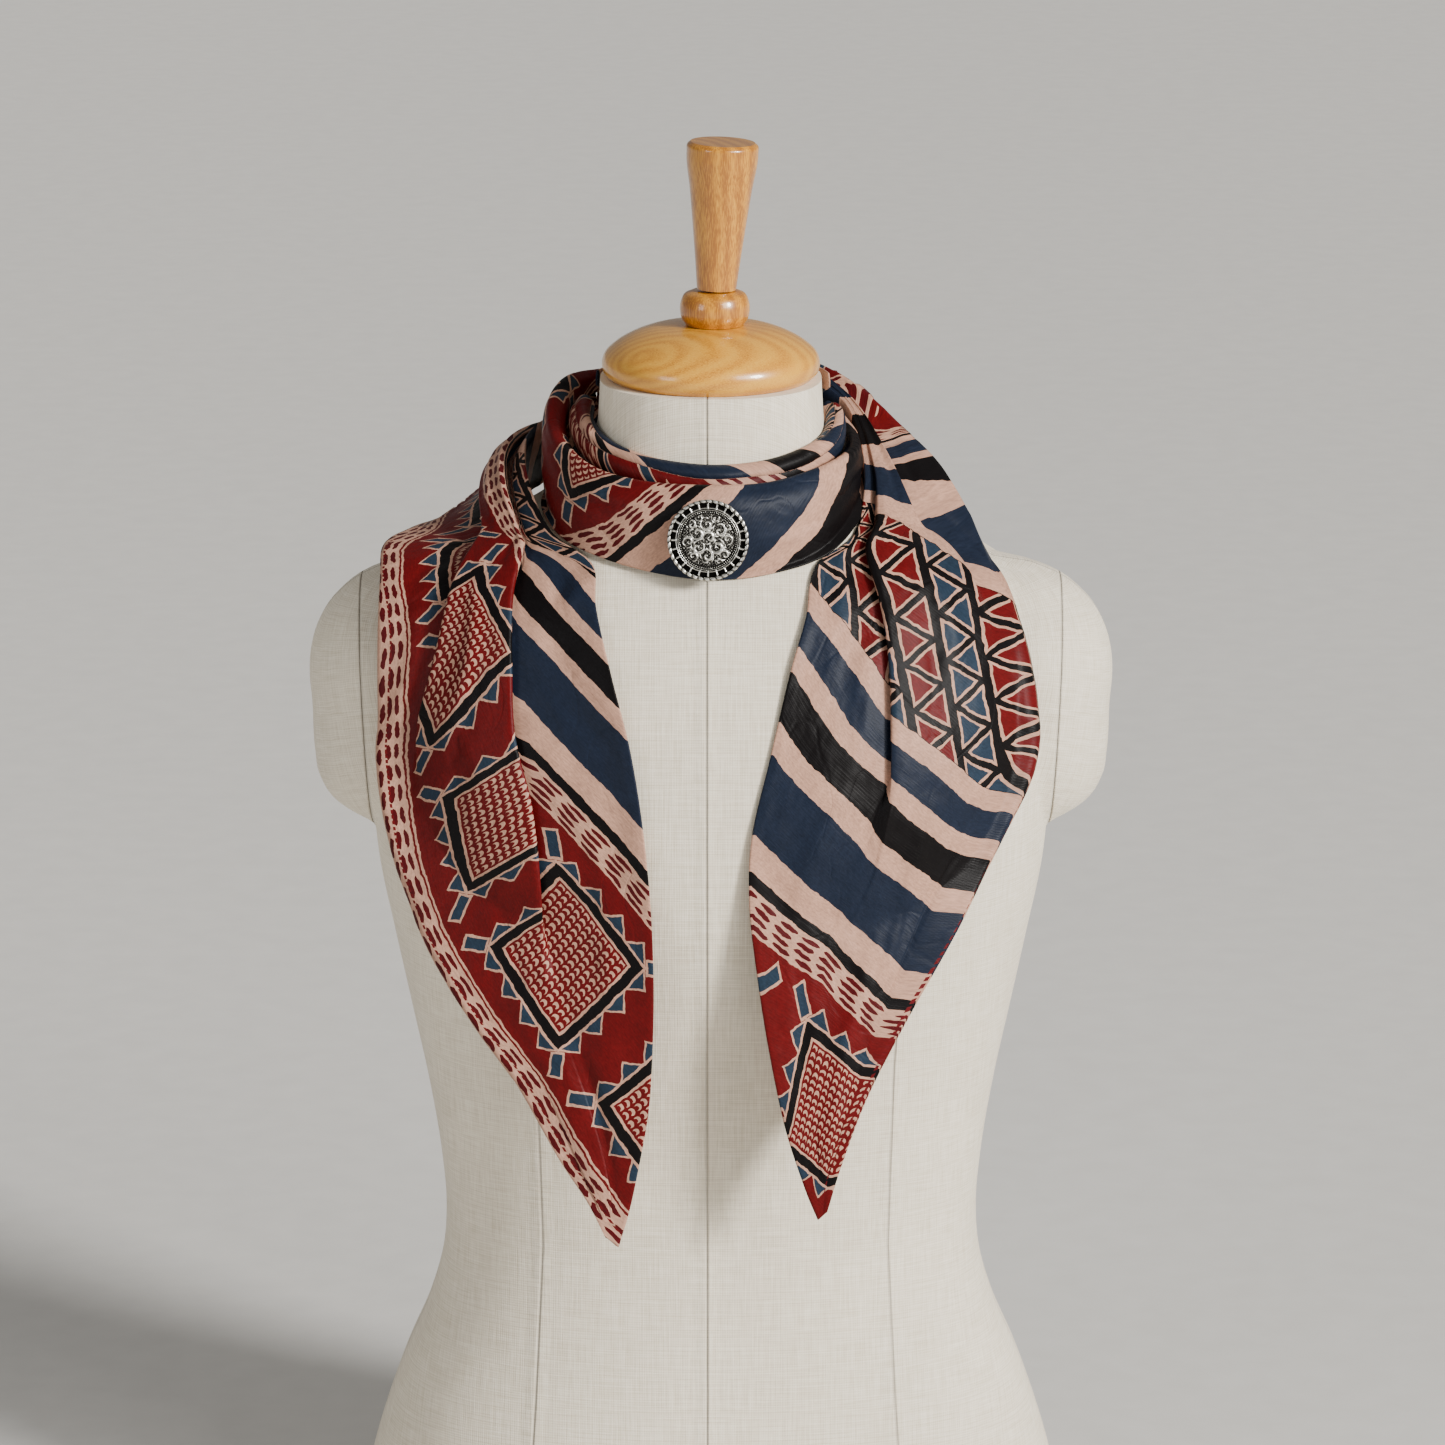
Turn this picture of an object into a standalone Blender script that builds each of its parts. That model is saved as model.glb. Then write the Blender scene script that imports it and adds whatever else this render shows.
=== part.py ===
"""A printed square scarf with a round brooch, worn on a limbless linen dress form.

Metres, +Z up, the form's front faces -Y. The origin is the middle of the form's flat base.
The tables below are in millimetres, measured from that origin.
"""

import math

import bpy
import numpy as np
from mathutils import Matrix, Vector

# Driving sizes, in metres
MM = 0.001
CLOTH_WALL = 0.0012
SEAM_GAP = 0.0003
CLOTH_CLEARANCE = 0.0018
ARM_CAP_SEAM_TOP = 0.1735
ARM_CAP_SEAM_LEAN = math.radians(2.3)
CUTTER_SIZE = 0.2
FINIAL_LEAN = math.radians(2.5)

# How points are kept clear of the form: passes, the step that feels its slope, the least slope
CLEAR_PASSES = 8
SLOPE_STEP = 0.0005
LEAST_SLOPE = 0.2

# The form's level sections: height, half width, depth to the front and to the back
FORM_SECTIONS = np.array([
    # z, half, front, back
    (0.0, 184.0, 112.0, 122.0),
    (30.0, 181.0, 111.0, 121.0),
    (66.0, 173.5, 107.0, 117.0),
    (91.0, 166.0, 103.0, 112.0),
    (119.0, 156.0, 98.0, 105.0),
    (146.0, 144.5, 94.0, 97.0),
    (173.0, 137.0, 91.0, 91.0),
    (200.0, 135.0, 90.0, 88.0),
    (227.0, 137.0, 92.0, 89.0),
    (267.0, 143.0, 99.0, 94.0),
    (307.0, 151.0, 108.0, 100.0),
    (347.0, 159.0, 119.0, 104.0),
    (387.0, 166.5, 127.0, 107.0),
    (420.0, 169.0, 129.0, 109.0),
    (450.0, 169.0, 126.0, 110.0),
    (480.0, 167.0, 118.0, 110.0),
    (505.0, 162.0, 107.0, 106.0),
    (522.0, 155.0, 97.0, 100.0),
    (533.0, 145.0, 89.0, 94.0),
    (542.0, 129.0, 82.0, 88.0),
    (552.0, 108.0, 75.0, 81.0),
    (563.0, 88.0, 68.0, 74.0),
    (575.0, 73.0, 62.0, 68.0),
    (588.0, 62.5, 57.5, 62.0),
    (602.0, 56.5, 55.5, 58.0),
    (616.0, 55.0, 55.0, 56.0),
    (626.3, 54.5, 54.5, 55.0),
]) * MM
FORM_POWER = 2.3
FORM_SIDES = 56
FORM_SIDE_PULL = 0.55

# The heights of the form's rings, closest where it curves most
FORM_RINGS = np.array([0.0, 34.0, 66.0, 94.0, 120.0, 143.0, 160.0, 178.0, 200.0, 225.0, 258.0, 296.0,
                       335.0, 370.0, 390.0, 401.0, 409.0, 417.0, 427.0, 440.0, 460.0, 480.0, 497.0,
                       510.0, 521.0, 530.0, 536.0, 542.0, 549.0, 557.0, 567.0, 579.0, 593.0, 608.0,
                       626.3]) * MM

# The padded caps over the armholes: height, how far out they reach, half depth front to back
ARM_CAP_CENTRE = 0.150
ARM_CAP_SECTIONS = np.array([
    # z, reach, half depth
    (392.0, 151.0, 4.0),
    (400.0, 167.0, 22.0),
    (412.0, 187.5, 38.0),
    (425.0, 196.0, 48.0),
    (438.0, 198.0, 54.0),
    (464.0, 199.0, 59.0),
    (477.0, 200.0, 59.5),
    (490.0, 199.0, 58.0),
    (503.0, 195.0, 52.0),
    (516.0, 186.5, 40.0),
    (528.0, 171.0, 24.0),
    (536.0, 151.0, 5.0),
]) * MM

# The faces of a box whose corners count up X, then Y, then Z
BOX_FACES = [(0, 1, 3, 2), (4, 6, 7, 5), (0, 4, 5, 1), (2, 3, 7, 6), (0, 2, 6, 4), (1, 5, 7, 3)]

# The wooden pieces' outer profiles, from the top down: radius and height
NECK_CAP_PROFILE = [(19.0, 652.4), (30.0, 650.8), (40.0, 647.2), (48.0, 642.4),
                    (52.4, 638.0), (53.7, 633.6), (52.8, 629.4), (50.0, 626.6)]
BEAD_PROFILE = [(11.5, 669.4), (15.0, 667.8), (16.8, 664.0), (17.2, 660.0), (16.4, 656.0), (14.2, 652.7)]
BEAD_PLACE = 2.0
HANDLE_PROFILE = [(15.8, 743.0), (17.4, 741.6), (17.6, 738.0), (15.2, 719.0), (12.9, 700.0),
                  (11.0, 683.0), (9.7, 670.3)]
HANDLE_PLACE = 2.8

# The outer band of the collar, by the angle round the neck from its front, negative to -X.
# Its section is given by distances from the neck's axis and heights, and ends in a rolled crest.
COLLAR_FRONT = np.array([
    # angle, low r, low z, middle r, middle z, crest r, crest z, crest width, tuck
    (-128.0, 71.5, 601.0, 73.5, 610.0, 71.0, 621.0, 5.0, 10.0),
    (-112.0, 74.5, 592.0, 78.0, 604.0, 75.0, 621.0, 6.5, 13.0),
    (-98.0, 78.0, 577.0, 81.5, 595.0, 77.0, 615.0, 8.0, 15.0),
    (-84.0, 81.0, 566.0, 83.0, 584.0, 76.5, 604.0, 8.5, 14.0),
    (-68.0, 86.0, 561.0, 85.5, 578.0, 76.0, 597.5, 8.5, 13.0),
    (-48.0, 91.0, 556.0, 88.5, 572.0, 76.5, 592.0, 8.5, 12.0),
    (-27.0, 87.5, 549.0, 88.0, 567.0, 77.5, 589.5, 8.0, 12.0),
    (0.0, 83.0, 543.5, 86.5, 565.0, 78.0, 589.0, 7.5, 12.0),
    (20.0, 83.5, 544.5, 86.5, 566.0, 77.5, 589.0, 7.5, 12.0),
    (40.0, 86.0, 549.5, 85.5, 570.0, 76.0, 592.0, 7.5, 12.0),
    (62.0, 81.0, 561.0, 79.0, 577.0, 73.0, 594.0, 7.0, 12.0),
    (88.0, 73.0, 569.0, 73.5, 582.0, 69.5, 597.0, 6.5, 12.0),
    (120.0, 70.0, 577.0, 70.0, 591.0, 67.0, 607.0, 6.0, 12.0),
])

# The roll between the band and the neck: an arch from its outer foot to its inner foot
COLLAR_INNER = np.array([
    # angle, outer r, outer z, crown r, crown z, inner r, inner z
    (-103.0, 68.5, 600.0, 64.0, 614.0, 60.0, 603.0),
    (-90.0, 68.0, 597.0, 63.5, 611.0, 59.5, 600.0),
    (-72.0, 67.5, 592.0, 63.0, 607.0, 59.0, 597.0),
    (-50.0, 67.5, 586.0, 63.0, 601.0, 59.5, 591.0),
    (-25.0, 67.5, 582.0, 63.0, 597.0, 59.5, 588.0),
    (0.0, 67.5, 580.0, 63.0, 595.0, 59.5, 587.0),
    (25.0, 67.5, 581.0, 63.0, 596.0, 59.5, 588.0),
    (50.0, 66.5, 586.0, 62.5, 600.0, 59.0, 591.0),
    (72.0, 65.5, 590.0, 62.0, 604.0, 58.5, 595.0),
    (95.0, 64.5, 598.0, 61.0, 612.0, 57.5, 603.0),
])

# How the band's crest and the inner roll are rounded: shares of their widths, a lean in millimetres
CREST_ROUND = 0.4
CREST_TUCK = 0.6
ARCH_ROUND = 0.3
ARCH_LEAN = 0.3

# The wrap close behind the neck, its angle counted on past 180 degrees
COLLAR_BACK = np.array([
    # angle, low r, low z, middle r, middle z, top r, top z
    (104.0, 60.5, 618.0, 60.5, 621.5, 60.0, 625.0),
    (125.0, 60.8, 608.0, 61.0, 616.0, 60.0, 626.0),
    (150.0, 63.0, 597.0, 62.5, 611.0, 60.5, 627.0),
    (180.0, 65.0, 594.0, 63.5, 609.0, 60.5, 627.0),
    (210.0, 63.0, 598.0, 62.5, 612.0, 60.5, 627.0),
    (232.0, 60.8, 609.0, 61.0, 617.0, 60.0, 626.0),
    (250.0, 60.5, 618.0, 60.5, 621.5, 60.0, 625.0),
])

# The ends of the scarf. Each row crosses the cloth from its edge beside the body's middle,
# over its outer ridge, to the edge that is turned behind that ridge, from the tip upward.
TAIL_LEFT = np.array([
    # inner x, y, z, ridge x, y, z, under x, y, z
    (-46.0, -133.0, 221.0, -50.5, -133.0, 225.0, -51.5, -133.0, 225.5),
    (-41.0, -134.0, 238.0, -59.0, -132.0, 243.0, -60.0, -131.5, 243.5),
    (-36.0, -135.0, 262.0, -73.0, -129.0, 265.0, -74.2, -128.5, 265.5),
    (-31.0, -136.0, 292.0, -93.0, -124.0, 302.0, -94.2, -123.0, 302.5),
    (-29.0, -136.0, 325.0, -113.0, -116.0, 331.0, -114.2, -115.0, 331.5),
    (-28.5, -136.0, 358.0, -134.0, -103.0, 364.0, -135.2, -101.5, 364.5),
    (-30.0, -135.0, 397.0, -147.5, -90.0, 402.0, -148.4, -88.6, 402.5),
    (-34.0, -132.0, 437.0, -156.5, -78.0, 439.0, -157.3, -76.6, 439.5),
    (-40.0, -125.0, 472.0, -160.5, -70.0, 470.0, -161.2, -68.6, 470.3),
    (-48.0, -113.0, 501.0, -161.0, -62.0, 507.0, -161.7, -60.6, 507.3),
    (-56.0, -92.0, 531.0, -160.5, -44.0, 534.0, -161.4, -42.6, 534.0),
    (-58.0, -74.0, 549.0, -160.0, -19.0, 545.5, -161.0, -17.4, 544.5),
    (-78.0, -54.0, 561.0, -150.0, 4.0, 547.5, -151.0, 5.6, 546.0),
    (-90.0, -20.0, 580.0, -134.0, 25.0, 549.0, -135.0, 26.8, 547.0),
    (-91.0, 14.0, 593.0, -118.0, 46.0, 552.0, -119.0, 48.0, 550.0),
    (-78.0, 44.0, 598.0, -94.0, 65.0, 561.0, -94.8, 66.6, 558.5),
    (-52.0, 65.0, 599.0, -60.0, 79.0, 569.0, -60.5, 80.0, 566.5),
    (-18.0, 72.0, 599.0, -20.0, 83.0, 570.0, -20.0, 84.0, 567.5),
    (18.0, 72.0, 599.0, 19.0, 83.0, 570.0, 19.0, 84.0, 567.5),
])
TAIL_RIGHT = np.array([
    # inner x, y, z, ridge x, y, z, under x, y, z
    (53.0, -133.0, 235.0, 56.0, -133.0, 238.0, 56.8, -133.0, 238.5),
    (46.5, -134.0, 252.0, 62.5, -132.0, 261.0, 63.3, -131.5, 261.5),
    (37.0, -135.0, 283.0, 75.5, -128.0, 296.0, 76.5, -127.5, 296.5),
    (29.0, -136.0, 323.0, 94.5, -122.0, 333.0, 95.5, -121.0, 333.5),
    (23.0, -136.0, 363.0, 119.5, -108.0, 376.0, 120.5, -107.0, 376.5),
    (19.5, -134.0, 397.0, 139.0, -90.0, 415.0, 139.9, -88.6, 415.5),
    (21.0, -131.0, 429.0, 152.5, -75.0, 446.0, 153.3, -73.6, 446.5),
    (29.5, -124.0, 465.0, 155.0, -67.0, 473.0, 155.7, -65.4, 473.3),
    (39.0, -110.0, 503.0, 151.0, -57.0, 501.0, 151.8, -55.2, 501.2),
    (47.0, -94.0, 528.0, 143.5, -43.0, 525.0, 144.5, -38.5, 525.0),
    (54.0, -77.0, 547.0, 134.5, -23.0, 544.0, 135.5, -14.0, 542.0),
    (75.0, -59.0, 558.0, 127.0, -5.0, 561.0, 129.0, 12.0, 551.0),
    (82.0, -26.0, 575.0, 116.0, 12.0, 581.0, 120.0, 38.0, 556.0),
    (79.0, 8.0, 591.0, 99.0, 29.0, 597.0, 106.0, 60.0, 560.0),
    (68.5, 31.5, 604.0, 83.5, 39.5, 608.0, 90.0, 75.0, 563.0),
    (57.5, 44.5, 612.0, 68.5, 51.5, 616.5, 73.5, 86.5, 566.0),
    (41.5, 57.0, 617.0, 49.5, 66.0, 621.0, 53.0, 93.0, 568.0),
    (18.5, 67.5, 619.0, 21.0, 77.0, 623.0, 22.5, 97.5, 571.0),
    (-11.5, 67.0, 619.0, -12.5, 76.5, 623.0, -15.0, 94.0, 585.0),
    (-32.0, 61.0, 619.0, -35.5, 69.0, 622.0, -39.5, 80.0, 604.0),
    (-41.0, 49.5, 620.0, -48.0, 58.0, 621.5, -52.5, 63.5, 603.0),
    (-49.6, 40.1, 620.5, -56.0, 45.3, 620.5, -57.2, 45.9, 602.0),
])

# The two pleats of an end. The inward one's crease faces the body's middle and raises the
# cloth outside it; the outward one's faces the shoulder and lowers the cloth again. A place
# and a depth are shares of the width from the inner edge to the ridge, and a lift is the rise
# of one layer in millimetres.
PLEATS_LEFT = np.array([
    # row, inward place, depth, lift, outward place, depth, lift
    (0.0, 0.46, -0.12, 0.0, 0.72, -0.10, 0.0),
    (2.0, 0.48, -0.12, 0.1, 0.72, -0.10, 0.0),
    (3.0, 0.53, -0.11, 0.4, 0.74, -0.10, 0.0),
    (4.0, 0.56, -0.12, 0.8, 0.78, -0.10, 0.0),
    (5.0, 0.49, -0.04, 1.5, 0.80, -0.09, 0.1),
    (5.5, 0.455, 0.005, 2.1, 0.81, -0.085, 0.2),
    (6.0, 0.42, 0.05, 2.5, 0.82, -0.08, 0.3),
    (7.0, 0.385, 0.17, 2.7, 0.84, -0.06, 1.0),
    (8.0, 0.41, 0.23, 2.7, 0.83, 0.02, 2.3),
    (9.0, 0.395, 0.21, 2.8, 0.745, 0.08, 2.6),
    (10.0, 0.355, 0.16, 3.0, 0.66, 0.09, 2.9),
    (11.0, 0.30, 0.12, 3.4, 0.56, 0.09, 3.2),
    (12.0, 0.18, 0.11, 3.8, 0.44, 0.10, 3.5),
    (13.0, 0.16, 0.11, 4.0, 0.44, 0.12, 3.6),
    (14.0, 0.18, 0.11, 3.6, 0.46, 0.12, 3.2),
    (15.0, 0.22, 0.08, 2.7, 0.52, 0.08, 2.5),
    (16.0, 0.32, -0.05, 1.5, 0.62, -0.04, 1.4),
    (17.0, 0.44, -0.12, 0.5, 0.72, -0.10, 0.4),
    (18.0, 0.46, -0.12, 0.2, 0.72, -0.10, 0.2),
])
PLEATS_RIGHT = np.array([
    # row, inward place, depth, lift, outward place, depth, lift
    (0.0, 0.46, -0.12, 0.0, 0.72, -0.10, 0.0),
    (4.0, 0.46, -0.12, 0.1, 0.72, -0.10, 0.0),
    (5.0, 0.47, -0.11, 0.6, 0.74, -0.10, 0.0),
    (6.0, 0.455, -0.04, 1.8, 0.74, -0.10, 0.1),
    (7.0, 0.415, 0.07, 2.5, 0.74, -0.10, 0.3),
    (8.0, 0.38, 0.14, 2.7, 0.76, -0.09, 0.9),
    (9.0, 0.325, 0.16, 2.8, 0.78, -0.05, 1.9),
    (10.0, 0.25, 0.16, 3.0, 0.74, 0.06, 2.9),
    (11.0, 0.18, 0.15, 3.2, 0.66, 0.12, 3.2),
    (12.0, 0.22, 0.06, 2.3, 0.64, 0.09, 2.6),
    (13.0, 0.34, -0.08, 1.1, 0.68, -0.05, 1.5),
    (14.0, 0.42, -0.12, 0.5, 0.70, -0.10, 0.5),
    (15.0, 0.46, -0.12, 0.1, 0.72, -0.10, 0.1),
    (21.0, 0.46, -0.12, 0.0, 0.72, -0.10, 0.0),
])
PLEAT_KNOTS = (0.34, 0.46, 0.72, 0.82)
TURN_WIDTH = 0.022
TURN_SPREAD = 1.5
SLOPE_SPREAD = 1.3
UNDER_END = 1.15
DEEP_PLEAT = 0.10
BASE_COLUMNS = 47

# How many rows an end has, and where a row is sampled: the pleats' turns get most of the points
TAIL_ROWS = 34
ROW_SAMPLES = (0.0, 0.09, 0.18, 0.27, 0.322, 0.34, 0.358, 0.385, 0.415, 0.442, 0.46, 0.478,
               0.52, 0.58, 0.64, 0.70, 0.72, 0.74, 0.77, 0.80, 0.82, 0.84, 0.88, 0.915, 0.94, 0.97, 1.0)

# The brooch: it stands on the collar's front, tilted back a little, and its pieces lie on each
# other outward from the cloth
BROOCH_CENTRE = Vector((-0.0012, -0.0877, 0.5647))
BROOCH_TILT = math.radians(8.0)
PLATE_RADIUS = 0.0188
PLATE_LEVELS = (0.0024, 0.0032)
RIM_RADIUS = 0.0188
RIM_SIZE = 0.00095
RIM_LUMPS = 20
GALLERY_RADII = (0.0150, 0.0159, 0.0176)
GALLERY_LEVELS = (0.0035, 0.0043)
GALLERY_BARS = 24
GALLERY_BAR_SHARE = 0.2
MEDALLION_RADIUS = 0.0147
MEDALLION_LEVELS = (0.0035, 0.0046)
MEDALLION_LEAVES = 8
RELIEF_HEIGHT = 0.0006
PIN_LENGTH = 0.026
PIN_RADIUS = 0.0005
PIN_BLOCK = Vector((0.0035, 0.003, 0.0))
PIN_OVERLAP = 0.0002


def clear_scene():
    """Remove the objects of the start-up file."""
    for thing in list(bpy.data.objects):
        bpy.data.objects.remove(thing, do_unlink=True)


def linear(hex_colour):
    """Turn an sRGB hex colour into linear values with full alpha."""
    parts = [int(hex_colour[place:place + 2], 16) / 255.0 for place in (1, 3, 5)]
    return tuple(part / 12.92 if part <= 0.04045 else ((part + 0.055) / 1.055) ** 2.4
                 for part in parts) + (1.0,)


def material(name, colour, roughness, metallic=0.0):
    """Make a Principled material."""
    made = bpy.data.materials.new(name)
    made.use_nodes = True
    shader = made.node_tree.nodes["Principled BSDF"]
    shader.inputs["Base Color"].default_value = linear(colour)
    shader.inputs["Roughness"].default_value = roughness
    shader.inputs["Metallic"].default_value = metallic
    made.diffuse_color = linear(colour)
    return made


def smooth_between(knots, values, places):
    """Read a smooth curve through a table's values (cubic, with slopes from the neighbours)."""
    knots = np.asarray(knots, float)
    values = np.asarray(values, float)
    places = np.clip(places, knots[0], knots[-1])
    if values.ndim > 1:
        columns = [smooth_between(knots, column, places) for column in values.T]
        return np.stack(columns, axis=-1)
    slopes = np.gradient(values, knots)
    left = np.clip(np.searchsorted(knots, places, side="right") - 1, 0, len(knots) - 2)
    width = knots[left + 1] - knots[left]
    share = (places - knots[left]) / width
    rise = values[left + 1] - values[left]
    start = slopes[left] * width
    end = slopes[left + 1] * width
    return (values[left] + share * start + share ** 2 * (3.0 * rise - 2.0 * start - end)
            + share ** 3 * (start + end - 2.0 * rise))


def form_radius(angle, height):
    """Give the form's radius from its axis, at an angle from +X and a height."""
    half, front, back = smooth_between(FORM_SECTIONS[:, 0], FORM_SECTIONS[:, 1:], height).T
    across = np.abs(np.cos(angle))
    along = np.abs(np.sin(angle))
    depth = np.where(np.sin(angle) < 0.0, front, back)
    torso = ((across / half) ** FORM_POWER + (along / depth) ** FORM_POWER) ** (-1.0 / FORM_POWER)
    reach, half_depth = smooth_between(ARM_CAP_SECTIONS[:, 0], ARM_CAP_SECTIONS[:, 1:], height).T
    half_reach = np.maximum(reach - ARM_CAP_CENTRE, MM)
    square = (across / half_reach) ** 2 + (along / half_depth) ** 2
    middle = across * ARM_CAP_CENTRE / half_reach ** 2
    rest = (ARM_CAP_CENTRE / half_reach) ** 2 - 1.0
    root = middle ** 2 - square * rest
    cap = np.where(root > 0.0, (middle + np.sqrt(np.maximum(root, 0.0))) / square, 0.0)
    inside = (height > ARM_CAP_SECTIONS[0, 0]) & (height < ARM_CAP_SECTIONS[-1, 0])
    return np.maximum(torso, np.where(inside, cap, 0.0))


def form_excess(points):
    """Tell how far points lie outside the form, measured level from its axis."""
    angle = np.arctan2(points[:, 1], points[:, 0])
    return np.hypot(points[:, 0], points[:, 1]) - form_radius(angle, points[:, 2])


def keep_clear(points, clearance):
    """Move the points that lie closer to the form than the clearance straight out of it."""
    flat = points.reshape(-1, 3).copy()
    steps = SLOPE_STEP * np.eye(3)
    for _ in range(CLEAR_PASSES):
        excess = form_excess(flat)
        slope = np.stack([form_excess(flat + step) - form_excess(flat - step) for step in steps],
                         axis=-1) / (2.0 * SLOPE_STEP)
        length = np.maximum(np.linalg.norm(slope, axis=1), LEAST_SLOPE)
        short = np.maximum(clearance - excess / length, 0.0)
        flat += slope / length[:, None] * short[:, None]
    return flat.reshape(points.shape)


def unit(vectors):
    """Scale vectors to length one."""
    return vectors / np.maximum(np.linalg.norm(vectors, axis=-1, keepdims=True), 1e-12)


def mean_directions(grid, axis):
    """Give the mean of the directions to each point from its neighbours along an axis."""
    steps = unit(np.diff(grid, axis=axis))
    first = np.take(steps, [0], axis=axis)
    last = np.take(steps, [-1], axis=axis)
    return np.concatenate([first, steps], axis=axis) + np.concatenate([steps, last], axis=axis)


def grid_normals(grid, outward):
    """Give a grid's normals, on the side that the outward sign picks."""
    return unit(np.cross(mean_directions(grid, 0), mean_directions(grid, 1))) * outward


def add_mesh(name, vertices, faces, finish, sharp_degrees=40.0):
    """Make one named object from vertices and faces."""
    mesh = bpy.data.meshes.new(name)
    mesh.from_pydata([tuple(point) for point in vertices], [], faces)
    mesh.update()
    mesh.shade_smooth()
    mesh.set_sharp_from_angle(angle=math.radians(sharp_degrees))
    thing = bpy.data.objects.new(name, mesh)
    thing.data.materials.append(finish)
    bpy.context.scene.collection.objects.link(thing)
    return thing


def turn_outward(vertices, faces):
    """Reverse a closed mesh's faces if they point inward."""
    volume = 0.0
    for face in faces:
        for second, third in zip(face[1:-1], face[2:]):
            volume += np.dot(vertices[face[0]], np.cross(vertices[second], vertices[third]))
    return faces if volume > 0.0 else [tuple(reversed(face)) for face in faces]


def split_cell(points, ring):
    """Split a four-sided cell along its shorter diagonal."""
    first, second, third, fourth = ring
    if np.linalg.norm(points[first] - points[third]) <= np.linalg.norm(points[second] - points[fourth]):
        return (first, second, third), (first, third, fourth)
    return (first, second, fourth), (second, third, fourth)


def add_wall(name, grid, outward, finish, wall=CLOTH_WALL):
    """Make a closed wall of even thickness about a grid of mid-surface points."""
    rows, columns = grid.shape[:2]
    shift = grid_normals(grid, outward) * wall / 2.0
    vertices = np.concatenate([(grid + shift).reshape(-1, 3), (grid - shift).reshape(-1, 3)])
    back = rows * columns
    middle = grid.reshape(-1, 3)
    faces = []
    for row in range(rows - 1):
        for column in range(columns - 1):
            corner = row * columns + column
            ring = (corner, corner + 1, corner + columns + 1, corner + columns)
            for half in split_cell(middle, ring):
                faces.append(half)
                faces.append(tuple(place + back for place in reversed(half)))
    edge = [column for column in range(columns)]
    edge += [row * columns + columns - 1 for row in range(1, rows)]
    edge += [(rows - 1) * columns + column for column in range(columns - 2, -1, -1)]
    edge += [row * columns for row in range(rows - 2, 0, -1)]
    for first, second in zip(edge, edge[1:] + edge[:1]):
        faces.append((second, first, first + back, second + back))
    return add_mesh(name, vertices, turn_outward(vertices, faces), finish, 60.0)


def soft_ramp(places, start, width):
    """Rise from nought at a start with slope one, rounded over a width."""
    past = (places - start) / width
    rounded = np.clip(past + 0.5, 0.0, 1.0) ** 2 / 2.0
    return width * np.where(past > 0.5, past, rounded)


def soft_step(places, start, width):
    """Rise from nought to one over a width about a start."""
    share = np.clip((places - start) / width + 0.5, 0.0, 1.0)
    return share * share * (3.0 - 2.0 * share)


def pleat_rise(samples, knots, depth):
    """Rise by two layers: in two turns where a pleat is deep, in one slope where it opens."""
    start, end = knots
    turn = TURN_SPREAD * TURN_WIDTH
    turns = soft_step(samples, start, turn) + soft_step(samples, end, turn)
    slope = 2.0 * soft_step(samples, (start + end) / 2.0, SLOPE_SPREAD * (end - start))
    folded = min(max(depth / DEEP_PLEAT, 0.0), 1.0)
    return folded * turns + (1.0 - folded) * slope


def pleated_row(samples, pleats):
    """Give each sample's share of the row's width and its lift off the lowest layer."""
    place_in, depth_in, lift_in, place_out, depth_out, lift_out = pleats
    knots = (0.0,) + PLEAT_KNOTS + (1.0,)
    shares = (0.0, place_in + depth_in, place_in, place_out, place_out - depth_out, UNDER_END)
    slopes = [(after - before) / (end - start)
              for before, after, start, end in zip(shares, shares[1:], knots, knots[1:])]
    share = slopes[0] * samples
    for knot, before, after in zip(PLEAT_KNOTS, slopes, slopes[1:]):
        share = share + (after - before) * soft_ramp(samples, knot, TURN_WIDTH)
    rise = lift_in * MM * pleat_rise(samples, PLEAT_KNOTS[:2], depth_in)
    fall = lift_out * MM * pleat_rise(samples, PLEAT_KNOTS[2:], depth_out)
    return share, rise - fall


def row_curve(guides, shares):
    """Place shares of a row on the line from its inner edge over its ridge to its under edge."""
    inner, ridge, under = guides
    across = np.clip(shares, 0.0, 1.0)[:, None]
    behind = np.clip((shares - 1.0) / (UNDER_END - 1.0), 0.0, 1.0)[:, None]
    return inner + (ridge - inner) * across + (under - ridge) * behind


def tail_grid(guides, pleat_table, outward, row_count, samples):
    """Work out an end's mid-surface: rows from the tip up, columns from the inner edge out."""
    stations = np.arange(len(guides), dtype=float)
    rows = np.linspace(0.0, stations[-1], row_count)
    guide_rows = smooth_between(stations, guides * MM, rows).reshape(row_count, 3, 3)
    pleat_rows = smooth_between(pleat_table[:, 0], pleat_table[:, 1:], rows)
    even = np.linspace(0.0, UNDER_END, BASE_COLUMNS)
    base = np.stack([row_curve(guide, even) for guide in guide_rows])
    base = keep_clear(base, CLOTH_CLEARANCE)
    normals = grid_normals(base, outward)
    grid = []
    for row, pleats in enumerate(pleat_rows):
        shares, lifts = pleated_row(samples, pleats)
        place = np.stack([np.interp(shares, even, base[row, :, axis]) for axis in range(3)], axis=-1)
        facing = np.stack([np.interp(shares, even, normals[row, :, axis]) for axis in range(3)], axis=-1)
        grid.append(place + unit(facing) * lifts[:, None])
    return np.array(grid)


def chord_curve(points, count):
    """Sample a smooth curve through points evenly along its length."""
    steps = np.linalg.norm(np.diff(points, axis=0), axis=1)
    knots = np.concatenate([[0.0], np.cumsum(steps)])
    return smooth_between(knots, points, np.linspace(0.0, knots[-1], count))


def band_section(row):
    """Give the points of the outer band's section from its low edge over the crest."""
    low_r, low_z, middle_r, middle_z, crest_r, crest_z, width, tuck = row
    side_z = crest_z - CREST_ROUND * width
    return np.array([(low_r, low_z), (middle_r, middle_z), (crest_r + width / 2.0, side_z),
                     (crest_r, crest_z), (crest_r - width / 2.0, side_z),
                     (crest_r - CREST_TUCK * width, crest_z - tuck)])


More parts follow.
